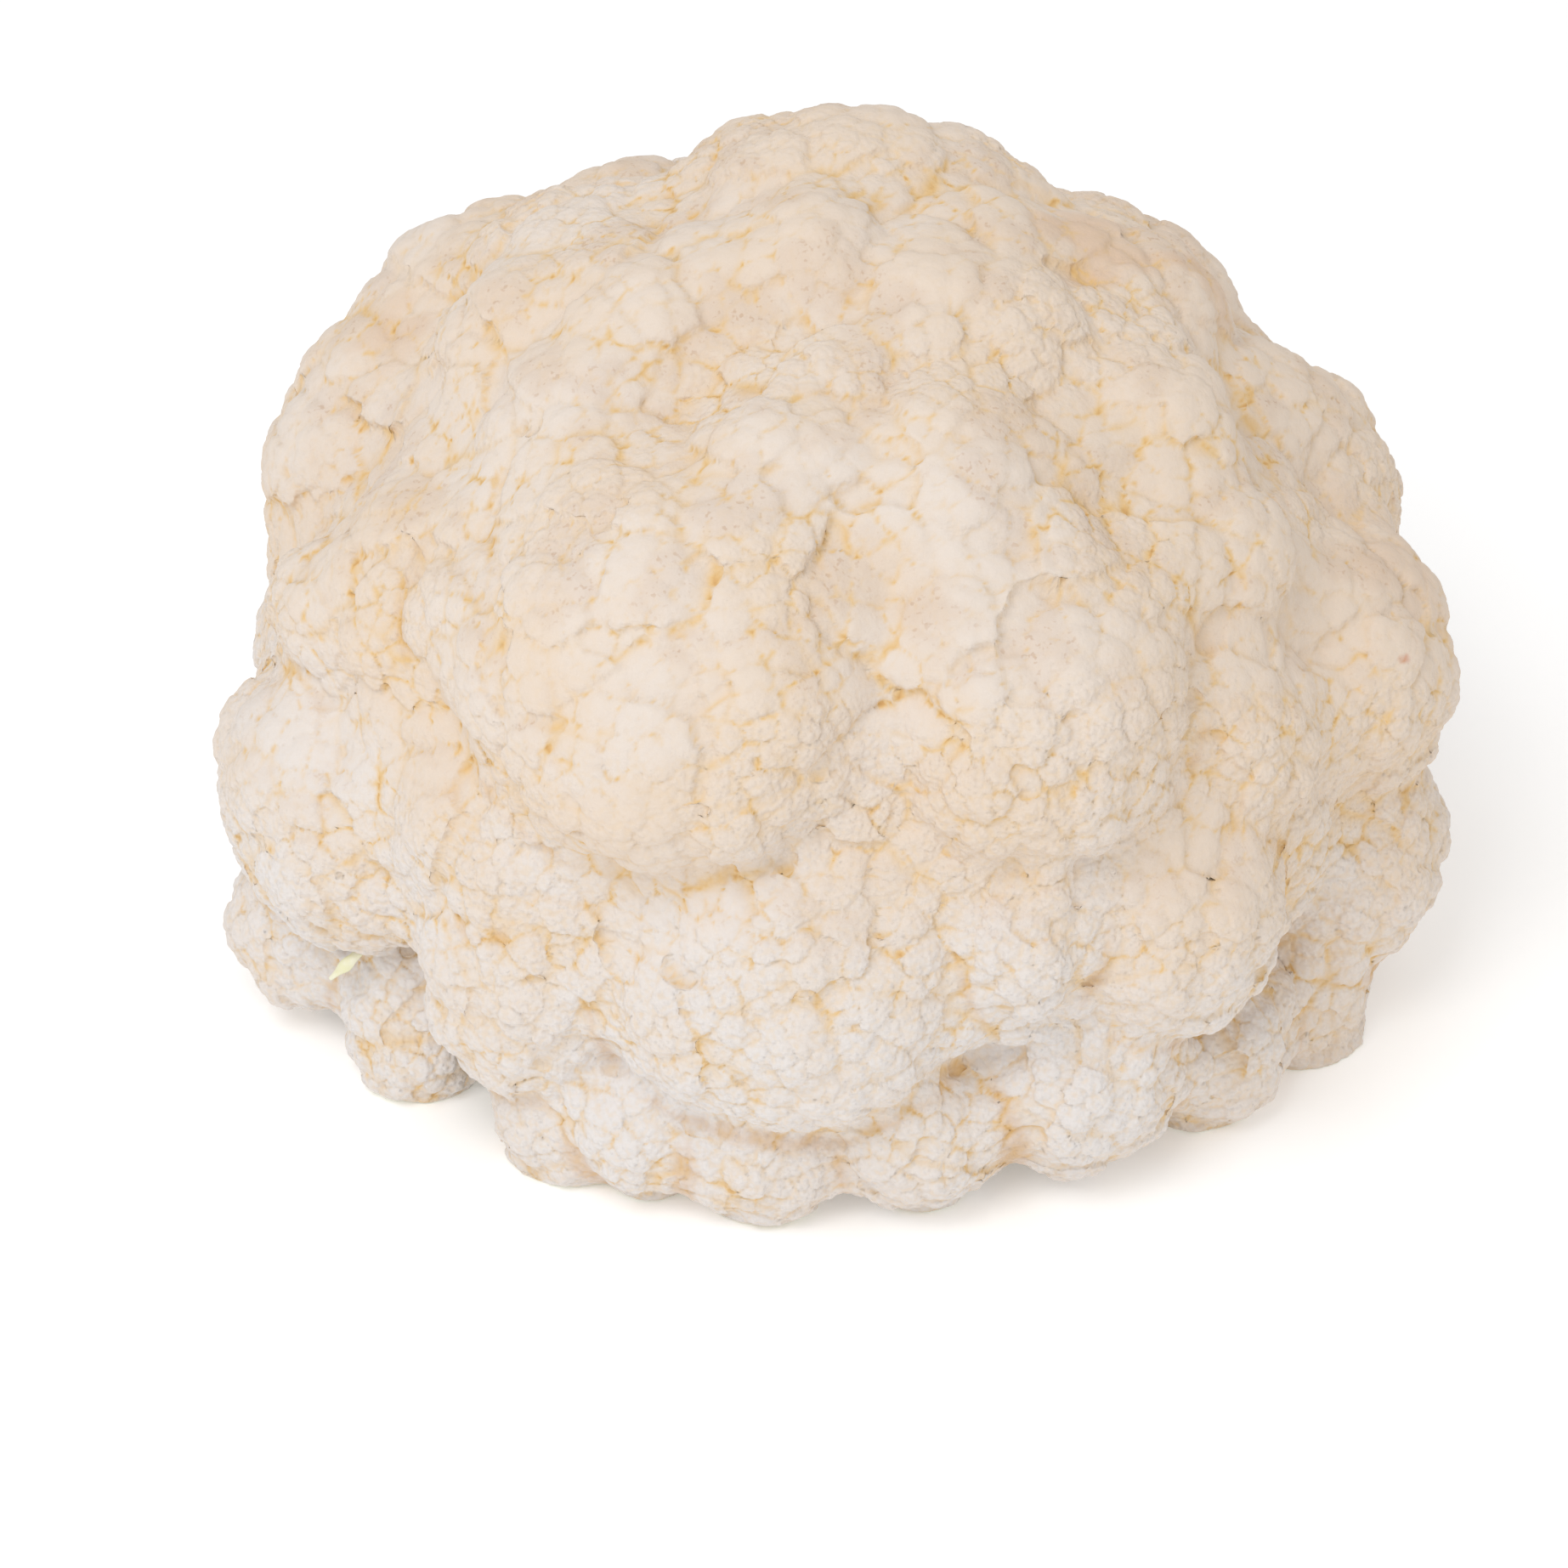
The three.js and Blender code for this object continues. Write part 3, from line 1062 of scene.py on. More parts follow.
@dataclass(frozen=True)
class Blemish:
    """A small discoloured place on the curd.

    Attributes:
        kind: what it looks like.
        azimuth: degrees from the front towards the right.
        elevation: degrees above the belt.
        radius: in millimetres.
        strength: its share in the colour.
    """

    kind: Mark
    azimuth: float
    elevation: float
    radius: float
    strength: float

    def share(self, points: Array) -> Array:
        """Finds its share in the colour of points, ragged at the edge.

        Args:
            points: places in metres, one row each.

        Returns:
            One share for each point, from 0 to the blemish's strength.
        """
        crown = ENVELOPE.point(self.azimuth, self.elevation, 1.0)
        outward = ENVELOPE.normal(crown)
        aside = points - crown
        aside -= np.outer(aside @ outward, outward) * FLATTENING
        noise = wave_noise(points, self.radius * RAGGED_WAVE * MM, RAGGED_SEED)
        ragged = 1.0 + RAGGEDNESS * noise
        reach = np.linalg.norm(aside, axis=1) / (self.radius * MM * ragged)
        return self.strength * smooth_step(reach, *BLEMISH_EDGE)


BLEMISHES = (
    Blemish(Mark.SCORCH, 96.0, 66.0, 13.0, 0.35),
    Blemish(Mark.SCORCH, 99.0, 52.0, 10.0, 0.30),
    Blemish(Mark.SCORCH, 78.0, 24.0, 16.0, 0.14),
    Blemish(Mark.SCORCH, -100.0, 44.0, 9.0, 0.18),
    Blemish(Mark.SORE, 52.0, 12.0, 1.3, 0.7),
    Blemish(Mark.SORE, 66.0, 19.0, 1.1, 0.6),
    Blemish(Mark.SORE, 60.0, 8.0, 1.0, 0.6),
    Blemish(Mark.SORE, -78.0, -19.0, 1.8, 0.7),
    Blemish(Mark.SORE, -70.0, -22.0, 1.2, 0.5),
)


@dataclass(frozen=True)
class Stalk:
    """The cut stalk, its branches, and the dense curd that they run into.

    Attributes:
        radius: of the cut face, in millimetres.
        flare: how much wider it is at the branches.
        height: where it runs into the curd, in millimetres.
        branch_root: height of the branches on it, in millimetres.
        branch_radius: where a branch leaves it, in millimetres.
        branch_taper: how much wider a branch is at its floret.
        full_across: half-width of a floret whose branch has the full radius, in millimetres.
        dense_share: the dense inner curd, as a share of the envelope.
        recess: height of the dense curd's underside, in millimetres.
    """

    radius: float = 23.0
    flare: float = 1.35
    height: float = 26.0
    branch_root: float = 13.0
    branch_radius: float = 10.0
    branch_taper: float = 1.4
    full_across: float = 20.0
    dense_share: float = 0.83
    recess: float = 15.0

    def shells(self) -> list[bpy.types.Object]:
        """The closed shells that make it up.

        Returns:
            The stalk, the dense curd, and one branch for each low floret.
        """
        low = [floret for floret in ALL_FLORETS if floret.elevation < 0.0]
        branches = [self._branch(floret) for floret in low]
        return [self._column(), self._dense_curd(), *branches]

    def _column(self) -> bpy.types.Object:
        """Makes the stalk itself, standing on its cut face.

        Returns:
            Its shell.
        """
        deselect_all()
        bpy.ops.mesh.primitive_cone_add(
            vertices=48,
            radius1=self.radius * MM,
            radius2=self.radius * self.flare * MM,
            depth=self.height * MM,
            location=(0.0, 0.0, HEAD_LOW.z + self.height * MM / 2),
        )
        return bpy.context.object

    def _dense_curd(self) -> bpy.types.Object:
        """Makes the inner mass, flat underneath.

        Returns:
            Its shell.
        """
        deselect_all()
        bpy.ops.mesh.primitive_ico_sphere_add(subdivisions=5, radius=1.0)
        mass = bpy.context.object
        points = read_vertices(mass.data) * ENVELOPE.half_size * self.dense_share
        points += ENVELOPE.centre
        points[:, 2] = np.maximum(points[:, 2], HEAD_LOW.z + self.recess * MM)
        write_vertices(mass.data, points)
        return mass

    def _branch(self, floret: Floret) -> bpy.types.Object:
        """Makes the branch that carries one low floret.

        Args:
            floret: the floret.

        Returns:
            Its shell.
        """
        root = Vector((0.0, 0.0, HEAD_LOW.z + self.branch_root * MM))
        along = Vector(floret.centre) - root
        radius = self.branch_radius * min(1.0, floret.across / self.full_across) * MM
        deselect_all()
        bpy.ops.mesh.primitive_cone_add(
            vertices=20,
            radius1=radius,
            radius2=radius * self.branch_taper,
            depth=along.length,
            location=root + along / 2,
            rotation=along.to_track_quat("Z", "Y").to_euler(),
        )
        return bpy.context.object


# Where the florets melt together and hollows are filled. Heights are in metres, and slopes are
# the upward part of the outward direction.
MELT_HEIGHT: Range = (58.0 * MM, 92.0 * MM)
MELT_SLOPE: Range = (-0.2, 0.5)
LOW_MELT_SLOPE: Range = (-0.55, 0.0)
LOW_MELT = 0.95  # how far low florets melt together
SIDE_MELT = 0.4  # how far high ones do where they don't face up
SOFTENING = ((0.12, 0.38, 6), (0.0, 0.5, 34))  # evening out: least, more where melted, rounds
SWELLING = 0.4  # in millimetres, where melted
FILL_HEIGHT: Range = (20.0 * MM, 32.0 * MM)
FILL_EDGE: Range = (-0.03, 0.01)  # of the filled part, as shares of the envelope
FILL_ROUNDS = 24
EVENING = 0.5  # how far a vertex goes in one round where it is evened out fully
# Where the granules are crisp, and where there are none:
PATCH_SIZE = 42.0  # in millimetres
PATCH_SEED = 5
PATCH_EDGE: Range = (-0.4, 0.9)
CRISP_SLOPE: Range = (0.75, 0.0)
CRISP_HEIGHT: Range = (78.0 * MM, 30.0 * MM)
CRISP_SHARES = (0.1, 0.35, 0.35, 0.4)  # everywhere, by patch, by slope, by height
FINE_CRISPNESS = 0.42  # above it the mesh is halved once more
FINE_GATHERING = 0.6 * GATHERING  # the same as GATHERING, for the finest granules
CREVICE_CALM = 0.5  # how much less granules grow in the last generation's crevices
FOLD: Range = (0.35, -0.2)  # turn away from the resting skin where it folds over
FOLD_ROUNDS = 6
UNTANGLING = 0.3  # how far every vertex is evened out after a generation
STEM_HEIGHT: Range = (30.0 * MM, 22.0 * MM)
STEM_DEPTH: Range = (0.84, 0.74)  # as shares of the envelope
CUT_HEIGHT: Range = (1.6 * MM, 0.4 * MM)
CUT_SLOPE: Range = (-0.5, -0.9)
# What the colours are mixed from:
GAP_SHADE_WIDTH = 2.4  # reach of the painted shade where florets meet, in millimetres
GAP_SHADE_SMOOTH = 0.3  # how strong that painted shade is where the curd is smooth
BORDER_SHADE = 0.8  # how strong the painted shade at the border between florets is
BORDER_SHADE_WIDTH = 3.0  # in millimetres
CRACK_SHARES = (0.7, 1.2)  # of a crevice's painted shade: alone, and more where it meets a coarser one
CRACK_PATCH = 17.0  # size of the patches of stronger painted crack shade, in millimetres
CRACK_SEED = 9
CRACK_EDGE: Range = (-0.6, 0.8)
CRACK_LEAST = 0.6  # between those patches
CRISP_FADE = 0.38  # how much paler the painted crack shade is where the curd is crisp
FADE_EDGE: Range = (0.35, 0.8)
WARM_HEIGHT: Range = (15.0 * MM, 95.0 * MM)
WARM_SHADE_RIGHT: Range = (10.0 * MM, 90.0 * MM)
WARM_SHARES = (0.15, 0.6, 0.35)  # everywhere, by height, towards the right; the last is partly painted shade
WEATHER_SLOPE: Range = (0.2, 0.8)


@dataclass
class Skin:
    """The whole surface of the head, before it is parted.

    Attributes:
        stalk: the stalk that the florets grow from.
        first_square: width of its first mesh squares, in millimetres.
        seed: the start of the chance that scatters the granules.
        piece: the object that holds it.
        crevices: how deep each vertex lies in the crevices of each generation.
        outward: the outward direction at each vertex before the granules grow.
    """

    stalk: Stalk = field(default_factory=Stalk)
    first_square: float = 1.5
    seed: int = 7
    piece: bpy.types.Object = field(init=False)
    crevices: list[Array] = field(init=False, default_factory=list)
    outward: Array = field(init=False)

    @property
    def mesh(self) -> bpy.types.Mesh:
        """The mesh of the skin."""
        return self.piece.data

    def build(self) -> None:
        """Shapes the florets, softens where they meet and grows the granules."""
        draw = np.random.default_rng(self.seed)
        self._fuse()
        self._soften()
        self._refine()
        rest = read_vertices(self.mesh)
        self.outward = read_vertices(self.mesh, "normal")
        fields = [GrainField(grain, rest, draw) for grain in (SUBFLORETS, LOBES, GRANULES)]
        by_granule = fields[2].gather(rest, GATHERING)
        by_lobe = fields[1].gather(by_granule, GATHERING)
        for grown, places in zip(fields, (by_lobe, by_granule)):
            self._grow(grown, places)
            self._untangle()
        self._store_layers(rest)
        curd = 1.0 - self._stem_share()
        subdivide_chosen(self.piece, self._crispness() * curd > FINE_CRISPNESS)
        rest = self._read_layers()
        grains, beads = [GrainField(grain, rest, draw) for grain in (GRAINS, BEADS)]
        by_bead = beads.gather(rest, GATHERING)
        by_grain = grains.gather(by_bead, FINE_GATHERING)
        for grown, places in ((fields[2], by_grain), (grains, by_bead), (beads, rest)):
            self._grow(grown, places)

    def _fuse(self) -> None:
        """Joins all florets, branches and the stalk into one closed surface."""
        shells = [self._dome(floret) for floret in ALL_FLORETS] + self.stalk.shells()
        self.piece = join(shells, "skin")
        bpy.ops.object.transform_apply(location=True, rotation=True, scale=True)
        remesh(self.piece, self.first_square * MM)
        self._keep_above_cut()

    def _dome(self, floret: Floret) -> bpy.types.Object:
        """Makes the smooth egg of one floret.

        Args:
            floret: the floret.

        Returns:
            Its shell.
        """
        deselect_all()
        bpy.ops.mesh.primitive_ico_sphere_add(subdivisions=4, radius=1.0)
        shell = bpy.context.object
        points = read_vertices(shell.data) * floret.half_size @ floret.axes + floret.centre
        points[:, 2] = np.maximum(points[:, 2], HEAD_LOW.z)
        write_vertices(shell.data, points)
        return shell

    def _soften(self) -> None:
        """Melts the florets into one another on top and lets them stand apart low down."""
        self._fill_hollows()
        points = read_vertices(self.mesh)
        normals = read_vertices(self.mesh, "normal")
        height = smooth_step(points[:, 2], *MELT_HEIGHT)
        facing = smooth_step(normals[:, 2], *MELT_SLOPE)
        low = LOW_MELT * (1.0 - height) * smooth_step(normals[:, 2], *LOW_MELT_SLOPE)
        high = height * (SIDE_MELT + (1.0 - SIDE_MELT) * facing)
        melt = np.clip(low + high, 0.0, 1.0)
        for least, more, rounds in SOFTENING:
            even_out(self.mesh, least + more * melt, rounds)
        points = read_vertices(self.mesh)
        points += read_vertices(self.mesh, "normal") * (SWELLING * melt * MM)[:, None]
        write_vertices(self.mesh, points)

    def _fill_hollows(self) -> None:
        """Fills the holes between florets, but not the underside."""
        points = read_vertices(self.mesh)
        spread = points - ENVELOPE.centre
        reach = np.linalg.norm(spread / ENVELOPE.half_size, axis=1)
        least = DEEPEST * smooth_step(points[:, 2], *FILL_HEIGHT)
        spread *= (np.maximum(reach, least) / reach)[:, None]
        write_vertices(self.mesh, ENVELOPE.centre + spread)
        even_out(self.mesh, EVENING * smooth_step(least - reach, *FILL_EDGE), FILL_ROUNDS)

    def _grow(self, grown: GrainField, places: Array) -> None:
        """Grows one generation of granules, less where the last one left a crevice.

        Args:
            grown: the granules.
            places: where each vertex lies on the resting skin.
        """
        calm = 1.0 - CREVICE_CALM * self.crevices[-1] if self.crevices else 1.0
        strength = calm * (1.0 - self._stem_share()) * (1.0 - self._cut_share())
        self.crevices.append(grown.raise_surface(self.mesh, places, self._crispness(), strength))
        self._keep_above_cut()

    def _untangle(self) -> None:
        """Evens out the skin, most of all where it folds over in a crevice."""
        turned = read_vertices(self.mesh, "normal")
        even_out(self.mesh, np.full(len(turned), UNTANGLING), 1)
        folded = smooth_step(np.sum(turned * self.outward, axis=1), *FOLD)
        even_out(self.mesh, EVENING * folded, FOLD_ROUNDS)

    def _refine(self) -> None:
        """Halves every mesh square."""
        activate(self.piece)
        modifier = self.piece.modifiers.new("refine", "SUBSURF")
        modifier.levels = 1
        bpy.ops.object.modifier_apply(modifier=modifier.name)

    def _store_layers(self, rest: Array) -> None:
        """Stores the layers and the resting places, to be carried through a change of mesh.

        Args:
            rest: the resting place of each vertex.
        """
        for axis in range(3):
            write_attribute(self.mesh, f"rest_{axis}", rest[:, axis])
        for number, crevice in enumerate(self.crevices):
            write_attribute(self.mesh, f"layer_{number}", crevice)

    def _read_layers(self) -> Array:
        """Reads the layers back after the mesh has changed.

        Returns:
            The resting place of each vertex.
        """
        mesh = self.mesh
        layers = [read_attribute(mesh, f"layer_{number}") for number in range(len(self.crevices))]
        self.crevices = [np.clip(layer, 0.0, 1.0) for layer in layers]
        return np.stack([read_attribute(mesh, f"rest_{axis}") for axis in range(3)], axis=1)

    def _keep_above_cut(self) -> None:
        """Flattens what would reach below the level cut."""
        points = read_vertices(self.mesh)
        points[:, 2] = np.maximum(points[:, 2], HEAD_LOW.z)
        write_vertices(self.mesh, points)

    def _crispness(self) -> Array:
        """Finds how crisp the granules are: smooth on top, crisp where the curd faces down.

        Returns:
            One value for each vertex, from 0, smooth, to 1, crisp.
        """
        points = read_vertices(self.mesh)
        normals = read_vertices(self.mesh, "normal")
        patchy = smooth_step(wave_noise(points, PATCH_SIZE * MM, PATCH_SEED), *PATCH_EDGE)
        facing = smooth_step(normals[:, 2], *CRISP_SLOPE)
        low = smooth_step(points[:, 2], *CRISP_HEIGHT)
        least, by_patch, by_slope, by_height = CRISP_SHARES
        crisp = least + by_patch * patchy + by_slope * facing + by_height * low
        return np.clip(crisp, 0.0, 1.0)

    def _stem_share(self) -> Array:
        """Finds how far each vertex belongs to the stalk and branches.

        Returns:
            One share for each vertex, from 0 to 1.
        """
        points = read_vertices(self.mesh)
        inside = np.linalg.norm((points - ENVELOPE.centre) / ENVELOPE.half_size, axis=1)
        under = smooth_step(points[:, 2], *STEM_HEIGHT)
        return smooth_step(inside, *STEM_DEPTH) * under

    def _cut_share(self) -> Array:
        """Finds how far each vertex belongs to the level cut.

        Returns:
            One share for each vertex, from 0 to 1.
        """
        height = read_vertices(self.mesh)[:, 2]
        facing = read_vertices(self.mesh, "normal")[:, 2]
        return smooth_step(height, *CUT_HEIGHT) * smooth_step(facing, *CUT_SLOPE)

    def colour_shares(self) -> dict[str, Array]:
        """The numbers that the finish is mixed from.

        Returns:
            One array for each name, with a value from 0 to 1 for each vertex.
        """
        points = read_vertices(self.mesh)
        normals = read_vertices(self.mesh, "normal")
        crisp = self._crispness()
        # Painted shade close to where florets meet, standing in for their occlusion.
        gaps = np.stack([floret.distance(points) for floret in ALL_FLORETS])
        gaps.partition(1, axis=0)
        gap = np.exp(-np.maximum(gaps[1], 0.0) / (GAP_SHADE_WIDTH * MM))
        gap = gap * (GAP_SHADE_SMOOTH + (1.0 - GAP_SHADE_SMOOTH) * crisp)
        # Painted shade in the crevices of each generation, stronger at the borders between
        # florets.
        crack_shade = np.zeros(len(points))
        alone, more = CRACK_SHARES
        low = BORDER_SHADE * np.exp((gaps[0] - gaps[1]) / (BORDER_SHADE_WIDTH * MM))
        for grain, crevice in zip(GENERATIONS, self.crevices):
            crack_shade = np.maximum(crack_shade, grain.tint * crevice * (alone + more * low))
            low = np.maximum(low, crevice)
        patchy = smooth_step(wave_noise(points, CRACK_PATCH * MM, CRACK_SEED), *CRACK_EDGE)
        crack_shade *= CRACK_LEAST + (1.0 - CRACK_LEAST) * patchy
        crack_shade *= 1.0 - CRISP_FADE * smooth_step(crisp, *FADE_EDGE)
        # Tanner upwards, the curd's own tone, and towards the right, partly painted shade.
        height = smooth_step(points[:, 2], *WARM_HEIGHT)
        rightward = smooth_step(points[:, 0], *WARM_SHADE_RIGHT)
        warm, by_height, by_right = WARM_SHARES
        warmth_and_shade = warm + by_height * height + by_right * rightward
        return {
            "crack_shade": crack_shade,
            "gap": gap,
            "warmth_and_shade": np.clip(warmth_and_shade, 0.0, 1.0),
            "weathered": smooth_step(normals[:, 2], *WEATHER_SLOPE) * height,
            "stem": np.maximum(self._stem_share(), self._cut_share()),
            "cut": self._cut_share(),
            "crisp": crisp,
            **{kind.value: self._blemish_share(points, kind) for kind in Mark},
        }

    def _blemish_share(self, points: Array, kind: Mark) -> Array:
        """Finds how far each vertex belongs to the blemishes of one kind.

        Args:
            points: places in metres, one row each.
            kind: which kind.

        Returns:
            One share for each vertex, from 0 to 1.
        """
        shares = [blemish.share(points) for blemish in BLEMISHES if blemish.kind is kind]
        return np.clip(np.sum(shares, axis=0), 0.0, 1.0)

    def owners(self) -> Array:
        """Finds which branch each vertex belongs to.

        Returns:
            A row of BRANCHES for each vertex; the stalk comes after the last branch.
        """
        points = read_vertices(self.mesh)
        best = np.full(len(points), np.inf)
        owner = np.zeros(len(points), int)
        for number, florets in enumerate(BRANCHES.values()):
            for floret in florets:
                distance = floret.distance(points)
                closer = distance < best
                best[closer] = distance[closer]
                owner[closer] = number
        owner[self._stem_share() > 0.5] = len(BRANCHES)
        return owner


class Parting:
    """Parts the finished skin into closed wedges that all run to the middle of the head."""

    def __init__(self, skin: Skin) -> None:
        """Reads the skin's arrays.

        Args:
            skin: the finished skin.
        """
        mesh = skin.mesh
        self.points = read_vertices(mesh)
        self.normals = read_vertices(mesh, "normal")
        self.shares = skin.colour_shares()
        self.corners = np.empty(len(mesh.loops), np.int32)
        mesh.loops.foreach_get("vertex_index", self.corners)
        self.first = np.empty(len(mesh.polygons), np.int32)
        mesh.polygons.foreach_get("loop_start", self.first)
        self.sides = np.empty(len(mesh.polygons), np.int32)
        mesh.polygons.foreach_get("loop_total", self.sides)
        self.owner = skin.owners()[self.corners[self.first]]

    def piece(self, number: int, name: str) -> bpy.types.Object:
        """Makes one closed piece.

        Args:
            number: the owner whose faces it takes.
            name: the piece's name.

        Returns:
            The piece, with the skin's normals and colour shares.
        """
        chosen = self.owner == number
        used, corners = np.unique(self.corners[np.repeat(chosen, self.sides)], return_inverse=True)
        sides = self.sides[chosen]
        walls = self._walls(corners, sides, heart=len(used))
        loops = np.concatenate([corners, walls.ravel()])
        totals = np.concatenate([sides, np.full(len(walls), 3)])
        mesh = make_mesh(name, np.vstack([self.points[used], ENVELOPE.centre]), loops, totals)
        for share, values in self.shares.items():
            write_attribute(mesh, share, np.append(values[used], 0.0))
        up = [[0.0, 0.0, 1.0]]
        mesh.normals_split_custom_set_from_vertices(np.vstack([self.normals[used], up]))
        piece = bpy.data.objects.new(name, mesh)
        bpy.context.scene.collection.objects.link(piece)
        return piece

    def _walls(self, corners: Array, sides: Array, heart: int) -> Array:
        """Triangles from the open edges to the middle of the head.

        Args:
            corners: vertex of each corner, face after face.
            sides: the number of corners of each face.
            heart: the vertex in the middle of the head.

        Returns:
            Three vertices for each wall triangle.
        """
        start = np.cumsum(sides) - sides
        following = np.arange(len(corners)) + 1
        following[start + sides - 1] = start
        tail, head = corners.astype(np.int64), corners[following].astype(np.int64)
        span = heart + 1
        open_edge = ~np.isin(tail * span + head, head * span + tail)
        hearts = np.full(int(open_edge.sum()), heart)
        return np.stack([head[open_edge], tail[open_edge], hearts], axis=1)


def make_mesh(name: str, points: Array, corners: Array, sides: Array) -> bpy.types.Mesh:
    """Makes a mesh from arrays.

    Args:
        name: its name.
        points: places of its vertices.
        corners: vertex of each corner, face after face.
        sides: the number of corners of each face.

    Returns:
        The mesh.
    """
    mesh = bpy.data.meshes.new(name)
    mesh.vertices.add(len(points))
    mesh.loops.add(len(corners))
    mesh.polygons.add(len(sides))
    mesh.vertices.foreach_set("co", points.astype(np.float32).ravel())
    mesh.loops.foreach_set("vertex_index", corners.astype(np.int32))
    mesh.polygons.foreach_set("loop_start", (np.cumsum(sides) - sides).astype(np.int32))
    mesh.update(calc_edges=True)
    return mesh


@dataclass
class Head:
    """The whole head of curd.

    Attributes:
        finish: the curd's material.
    """

    finish: bpy.types.Material

    def build(self) -> list[bpy.types.Object]:
        """Makes every branch of the head.

        Returns:
            The pieces.
        """
        skin = Skin()
        skin.build()
        LOG.info("skin: %d faces", len(skin.mesh.polygons))
        parting = Parting(skin)
        names = [*BRANCHES, STALK]
        pieces = [parting.piece(number, name) for number, name in enumerate(names)]
        bpy.data.objects.remove(skin.piece)
        for piece in pieces:
            self._dress(piece)
        return pieces

    def _dress(self, piece: bpy.types.Object) -> None:
        """Gives a piece its finish and its place in the frame.

        Args:
            piece: the piece.
        """
        piece.data.materials.append(self.finish)
        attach(piece, BODY)
        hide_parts(HEAD_NODE)


BLADE_START = 0.12  # how far up its outline the blade begins, so its root isn't pointed
BLADE_POWER = 0.8  # below 1 makes the blade's outline fuller
BLADE_TAPER = 0.25  # how much narrower it is at the tip
RIPPLE_ALONG = 11.0  # radians of the ripple from root to tip
RIPPLE_ACROSS = 2.0  # the same from its middle to an edge


@dataclass
class Bract:
    """The one small leaf left in a crevice.

    Attributes:
        finish: the leaf's material.
        length: root to tip, in millimetres.
        width: at its widest, in millimetres.
        thickness: in millimetres.
        azimuth: where it grows, in degrees from the front towards the right.
        elevation: the same, in degrees above the belt.
        lean: turn about the outward direction, in degrees.
        lift: turn of its tip off the curd and over, in degrees; 90 stands straight out.
        cup: how far its edges curl up, in millimetres.
        bow: how far its ends curl up, in millimetres.
        ripple: height of the waves in it, as a share of its width.
        proud: how far its middle stands outward of its node's, in millimetres.
    """

    finish: bpy.types.Material
    length: float = 7.0
    width: float = 2.3
    thickness: float = 0.7
    azimuth: float = -56.0
    elevation: float = -13.0
    lean: float = 10.0
    lift: float = 117.0
    cup: float = 0.9
    bow: float = 1.2
    ripple: float = 0.25
    proud: float = 2.0

    def build(self) -> bpy.types.Object:
        """Makes the leaf.

        Returns:
            The finished piece.
        """
        deselect_all()
        bpy.ops.mesh.primitive_grid_add(x_subdivisions=10, y_subdivisions=22, size=1.0)
        piece = bpy.context.object
        piece.name = "bract"
        write_vertices(piece.data, self._blade(read_vertices(piece.data)))
        self._thicken(piece)
        turn = Euler((math.radians(self.lift), 0.0, math.radians(self.lean)), "ZXY").to_matrix()
        crown = ENVELOPE.point(self.azimuth, self.elevation, 1.0)
        axes = Floret("bract", self.azimuth, self.elevation, 1.0, 1.0, 1.0, 1.0).axes
        low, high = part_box(BRACT_NODE)
        middle = np.array((low + high) / 2) + ENVELOPE.normal(crown) * self.proud * MM
        points = read_vertices(piece.data) @ np.array(turn).T @ axes + middle
        write_vertices(piece.data, points)
        bpy.ops.object.shade_smooth()
        piece.data.materials.append(self.finish)
        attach(piece, BODY)
        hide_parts(BRACT_NODE)
        return piece

    def _blade(self, grid: Array) -> Array:
        """Bends a unit square into the pointed, cupped and slightly wavy blade.

        Args:
            grid: places on the square, one row each.

        Returns:
            Places on the blade in metres, one row each.
        """
        along = grid[:, 1] + 0.5
        outline = np.clip(BLADE_START + (1.0 - BLADE_START) * along, 0.0, 1.0)
        width = np.sin(math.pi * outline) ** BLADE_POWER
        width *= 1.0 - BLADE_TAPER * along
        across = grid[:, 0] * 2.0
        wave = self.ripple * np.sin(along * RIPPLE_ALONG + across * RIPPLE_ACROSS)
        bow = self.bow * (along - 0.5) ** 2
        rise = self.cup * across**2 * width + wave * width + bow
        blade = [across * width * self.width / 2, (along - 0.5) * self.length, rise]
        return np.stack(blade, axis=1) * MM

    def _thicken(self, piece: bpy.types.Object) -> None:
        """Gives the blade its thickness and rounds its edge.

        Args:
            piece: the blade.
        """
        activate(piece)
        solid = piece.modifiers.new("thickness", "SOLIDIFY")
        solid.thickness = self.thickness * MM
        solid.offset = 0.0
        smooth = piece.modifiers.new("round", "SUBSURF")
        smooth.levels = 2
        for modifier in (solid, smooth):
            bpy.ops.object.modifier_apply(modifier=modifier.name)


WHITE = (1.0, 1.0, 1.0, 1.0)


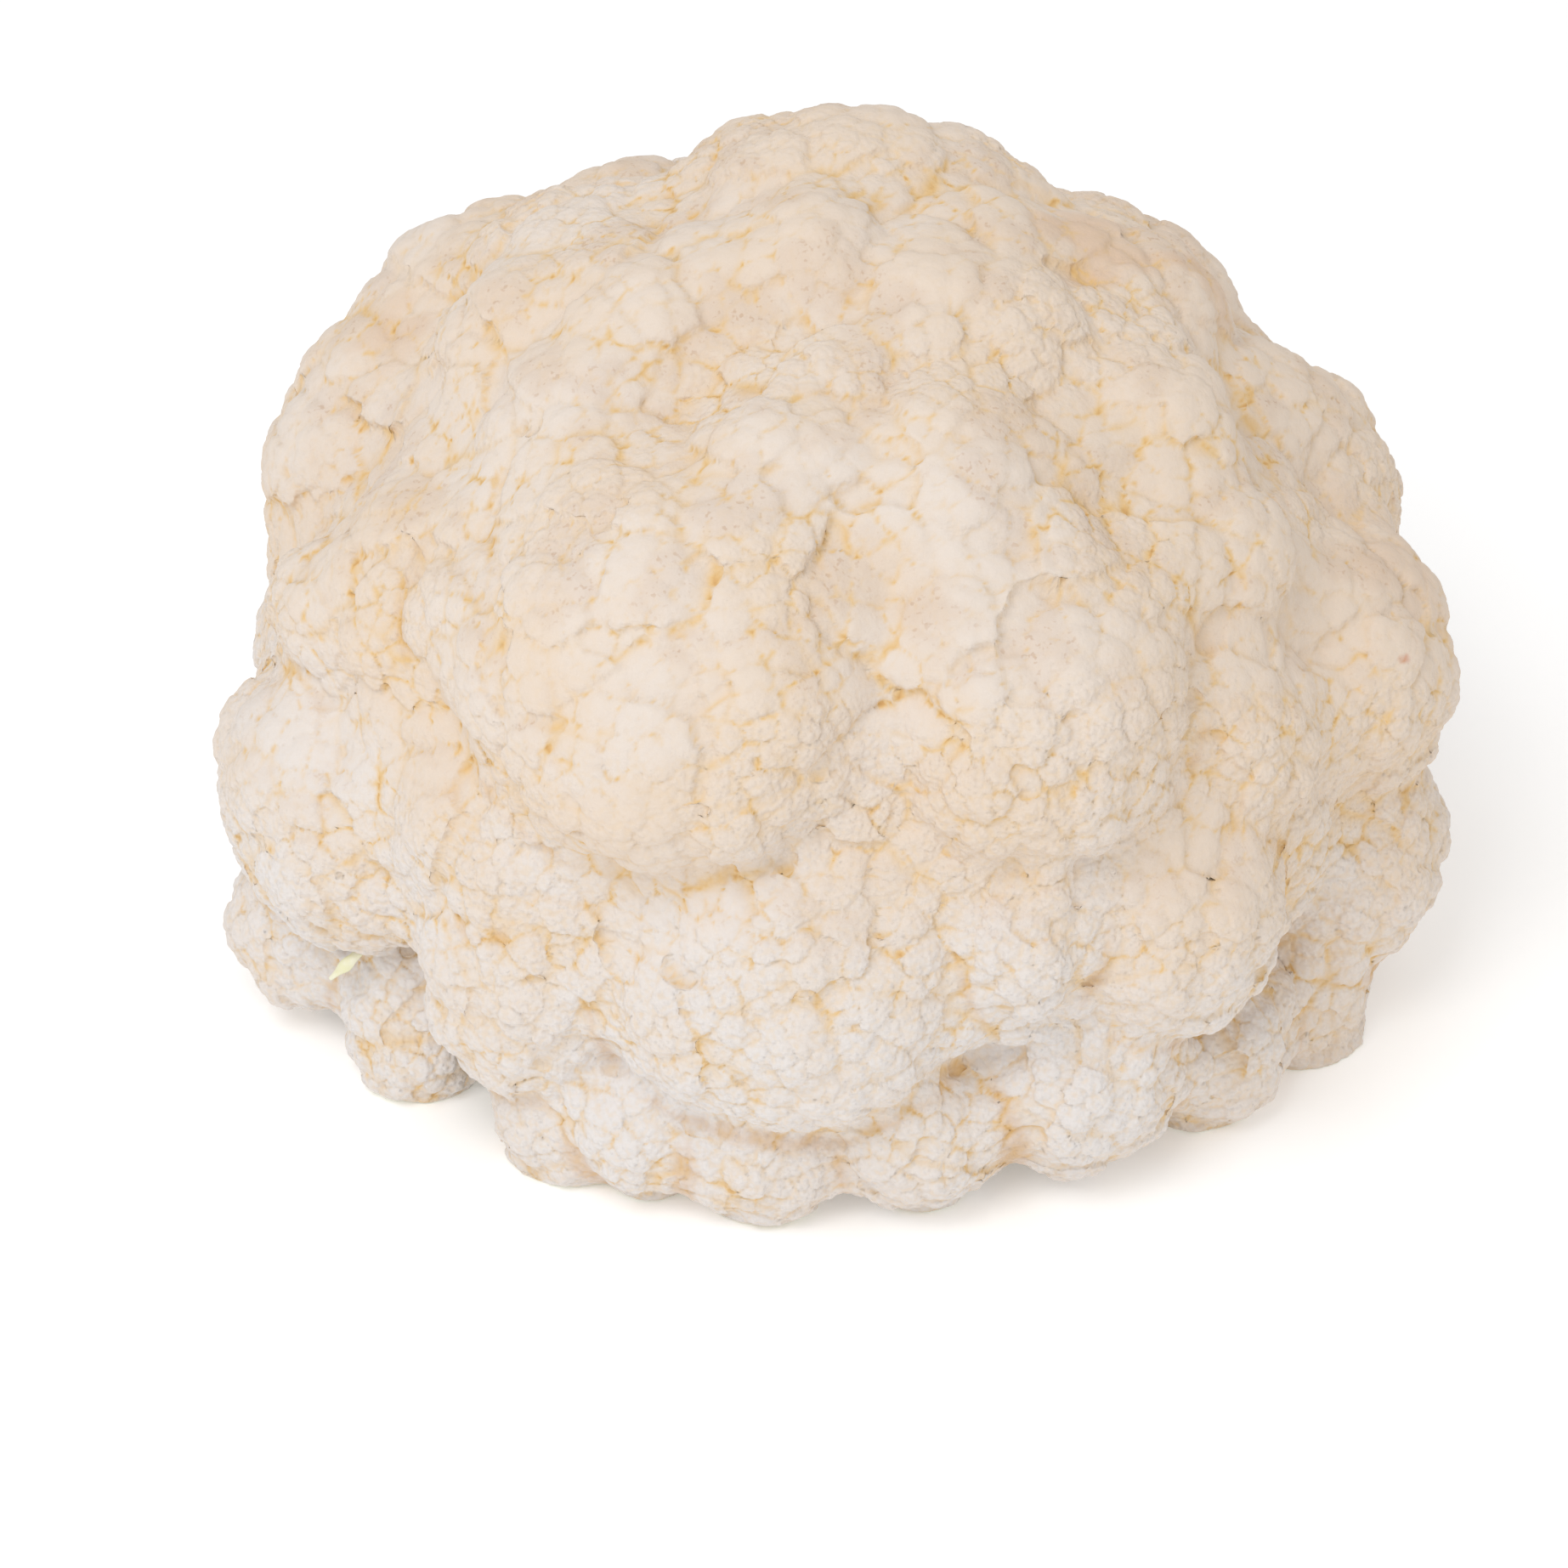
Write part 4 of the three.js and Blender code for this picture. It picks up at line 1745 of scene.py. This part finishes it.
@dataclass
class Studio:
    """The pale floor, the soft lights and the camera.

    Attributes:
        distance: camera to its aim, in millimetres.
        elevation: camera above the horizon, in degrees.
        lens: focal length in millimetres.
        aim: what the camera looks at, in millimetres from the head's origin.
        sensor: width of its sensor, in millimetres.
        key: where the key light stands, in millimetres.
        key_size: its width in millimetres.
        key_power: in watts.
        key_aim: height that it points at, in millimetres.
        surround: strength of the light from all round.
        floor_size: width of the floor in millimetres.
        floor_drop: floor to the head's cut face, in millimetres.
        floor_grey: its colour, the same in red, green and blue.
        floor_glow: light that it gives off by itself.
    """

    distance: float = 900.0
    elevation: float = 36.0
    lens: float = 125.5
    aim: Place = (-8.4, 0.0, 25.0)
    sensor: float = 36.0
    key: Place = (-290.0, -520.0, 900.0)
    key_size: float = 500.0
    key_power: float = 3.6
    key_aim: float = 60.0
    surround: float = 0.72
    floor_size: float = 8000.0
    floor_drop: float = 0.05
    floor_grey: float = 0.97
    floor_glow: float = 0.18

    def build(self) -> None:
        """Makes the floor, the lights, the backdrop light and the camera."""
        self._floor()
        self._light("key", self.key, self.key_size, self.key_power)
        self._world()
        self._camera()
        bpy.context.scene.view_settings.view_transform = "Standard"

    def _floor(self) -> None:
        """A wide pale floor."""
        deselect_all()
        level = HEAD_LOW.z - self.floor_drop * MM
        bpy.ops.mesh.primitive_plane_add(size=self.floor_size * MM, location=(0.0, 0.0, level))
        floor = bpy.context.object
        floor.name = "floor"
        nodes = Nodes("floor")
        settings = {
            "Base Color": (*[self.floor_grey] * 3, 1.0),
            "Roughness": 0.9,
            "Emission Color": WHITE,
            "Emission Strength": self.floor_glow,
        }
        for name, value in settings.items():
            nodes.shader.inputs[name].default_value = value
        floor.data.materials.append(nodes.material)

    def _light(self, name: str, place: Place, size: float, power: float) -> None:
        """A large soft light aimed at the head.

        Args:
            name: the light's name.
            place: where it stands, in millimetres.
            size: its width in millimetres.
            power: its power in watts.
        """
        lamp = bpy.data.lights.new(name, "AREA")
        lamp.energy = power
        lamp.size = size * MM
        light = bpy.data.objects.new(name, lamp)
        bpy.context.scene.collection.objects.link(light)
        light.location = Vector(place) * MM
        direction = Vector((0.0, 0.0, self.key_aim * MM)) - light.location
        light.rotation_euler = direction.to_track_quat("-Z", "Y").to_euler()

    def _world(self) -> None:
        """A white surround."""
        world = bpy.data.worlds.new("surround")
        bpy.context.scene.world = world
        world.use_nodes = True
        background = world.node_tree.nodes["Background"]
        background.inputs["Color"].default_value = WHITE
        background.inputs["Strength"].default_value = self.surround

    def _camera(self) -> None:
        """The camera, above the front, aimed a little to the left of the middle."""
        lens = bpy.data.cameras.new("camera")
        lens.lens = self.lens
        lens.sensor_width = self.sensor
        camera = bpy.data.objects.new("camera", lens)
        bpy.context.scene.collection.objects.link(camera)
        rise = math.radians(self.elevation)
        back = Vector((0.0, -math.cos(rise), math.sin(rise)))
        camera.location = (Vector(self.aim) + back * self.distance) * MM
        camera.rotation_euler = Euler((math.pi / 2 - rise, 0.0, 0.0))
        bpy.context.scene.camera = camera


def main() -> None:
    """Builds every piece of the head, then the studio round it."""
    logging.basicConfig(level=logging.INFO, format="%(name)s: %(message)s")
    pieces = [*Head(CurdFinish().material()).build(), Bract(LeafFinish().material()).build()]
    for piece in pieces:
        LOG.info("%s: %d faces", piece.name, len(piece.data.polygons))
    Studio().build()


if __name__ == "__main__":
    main()
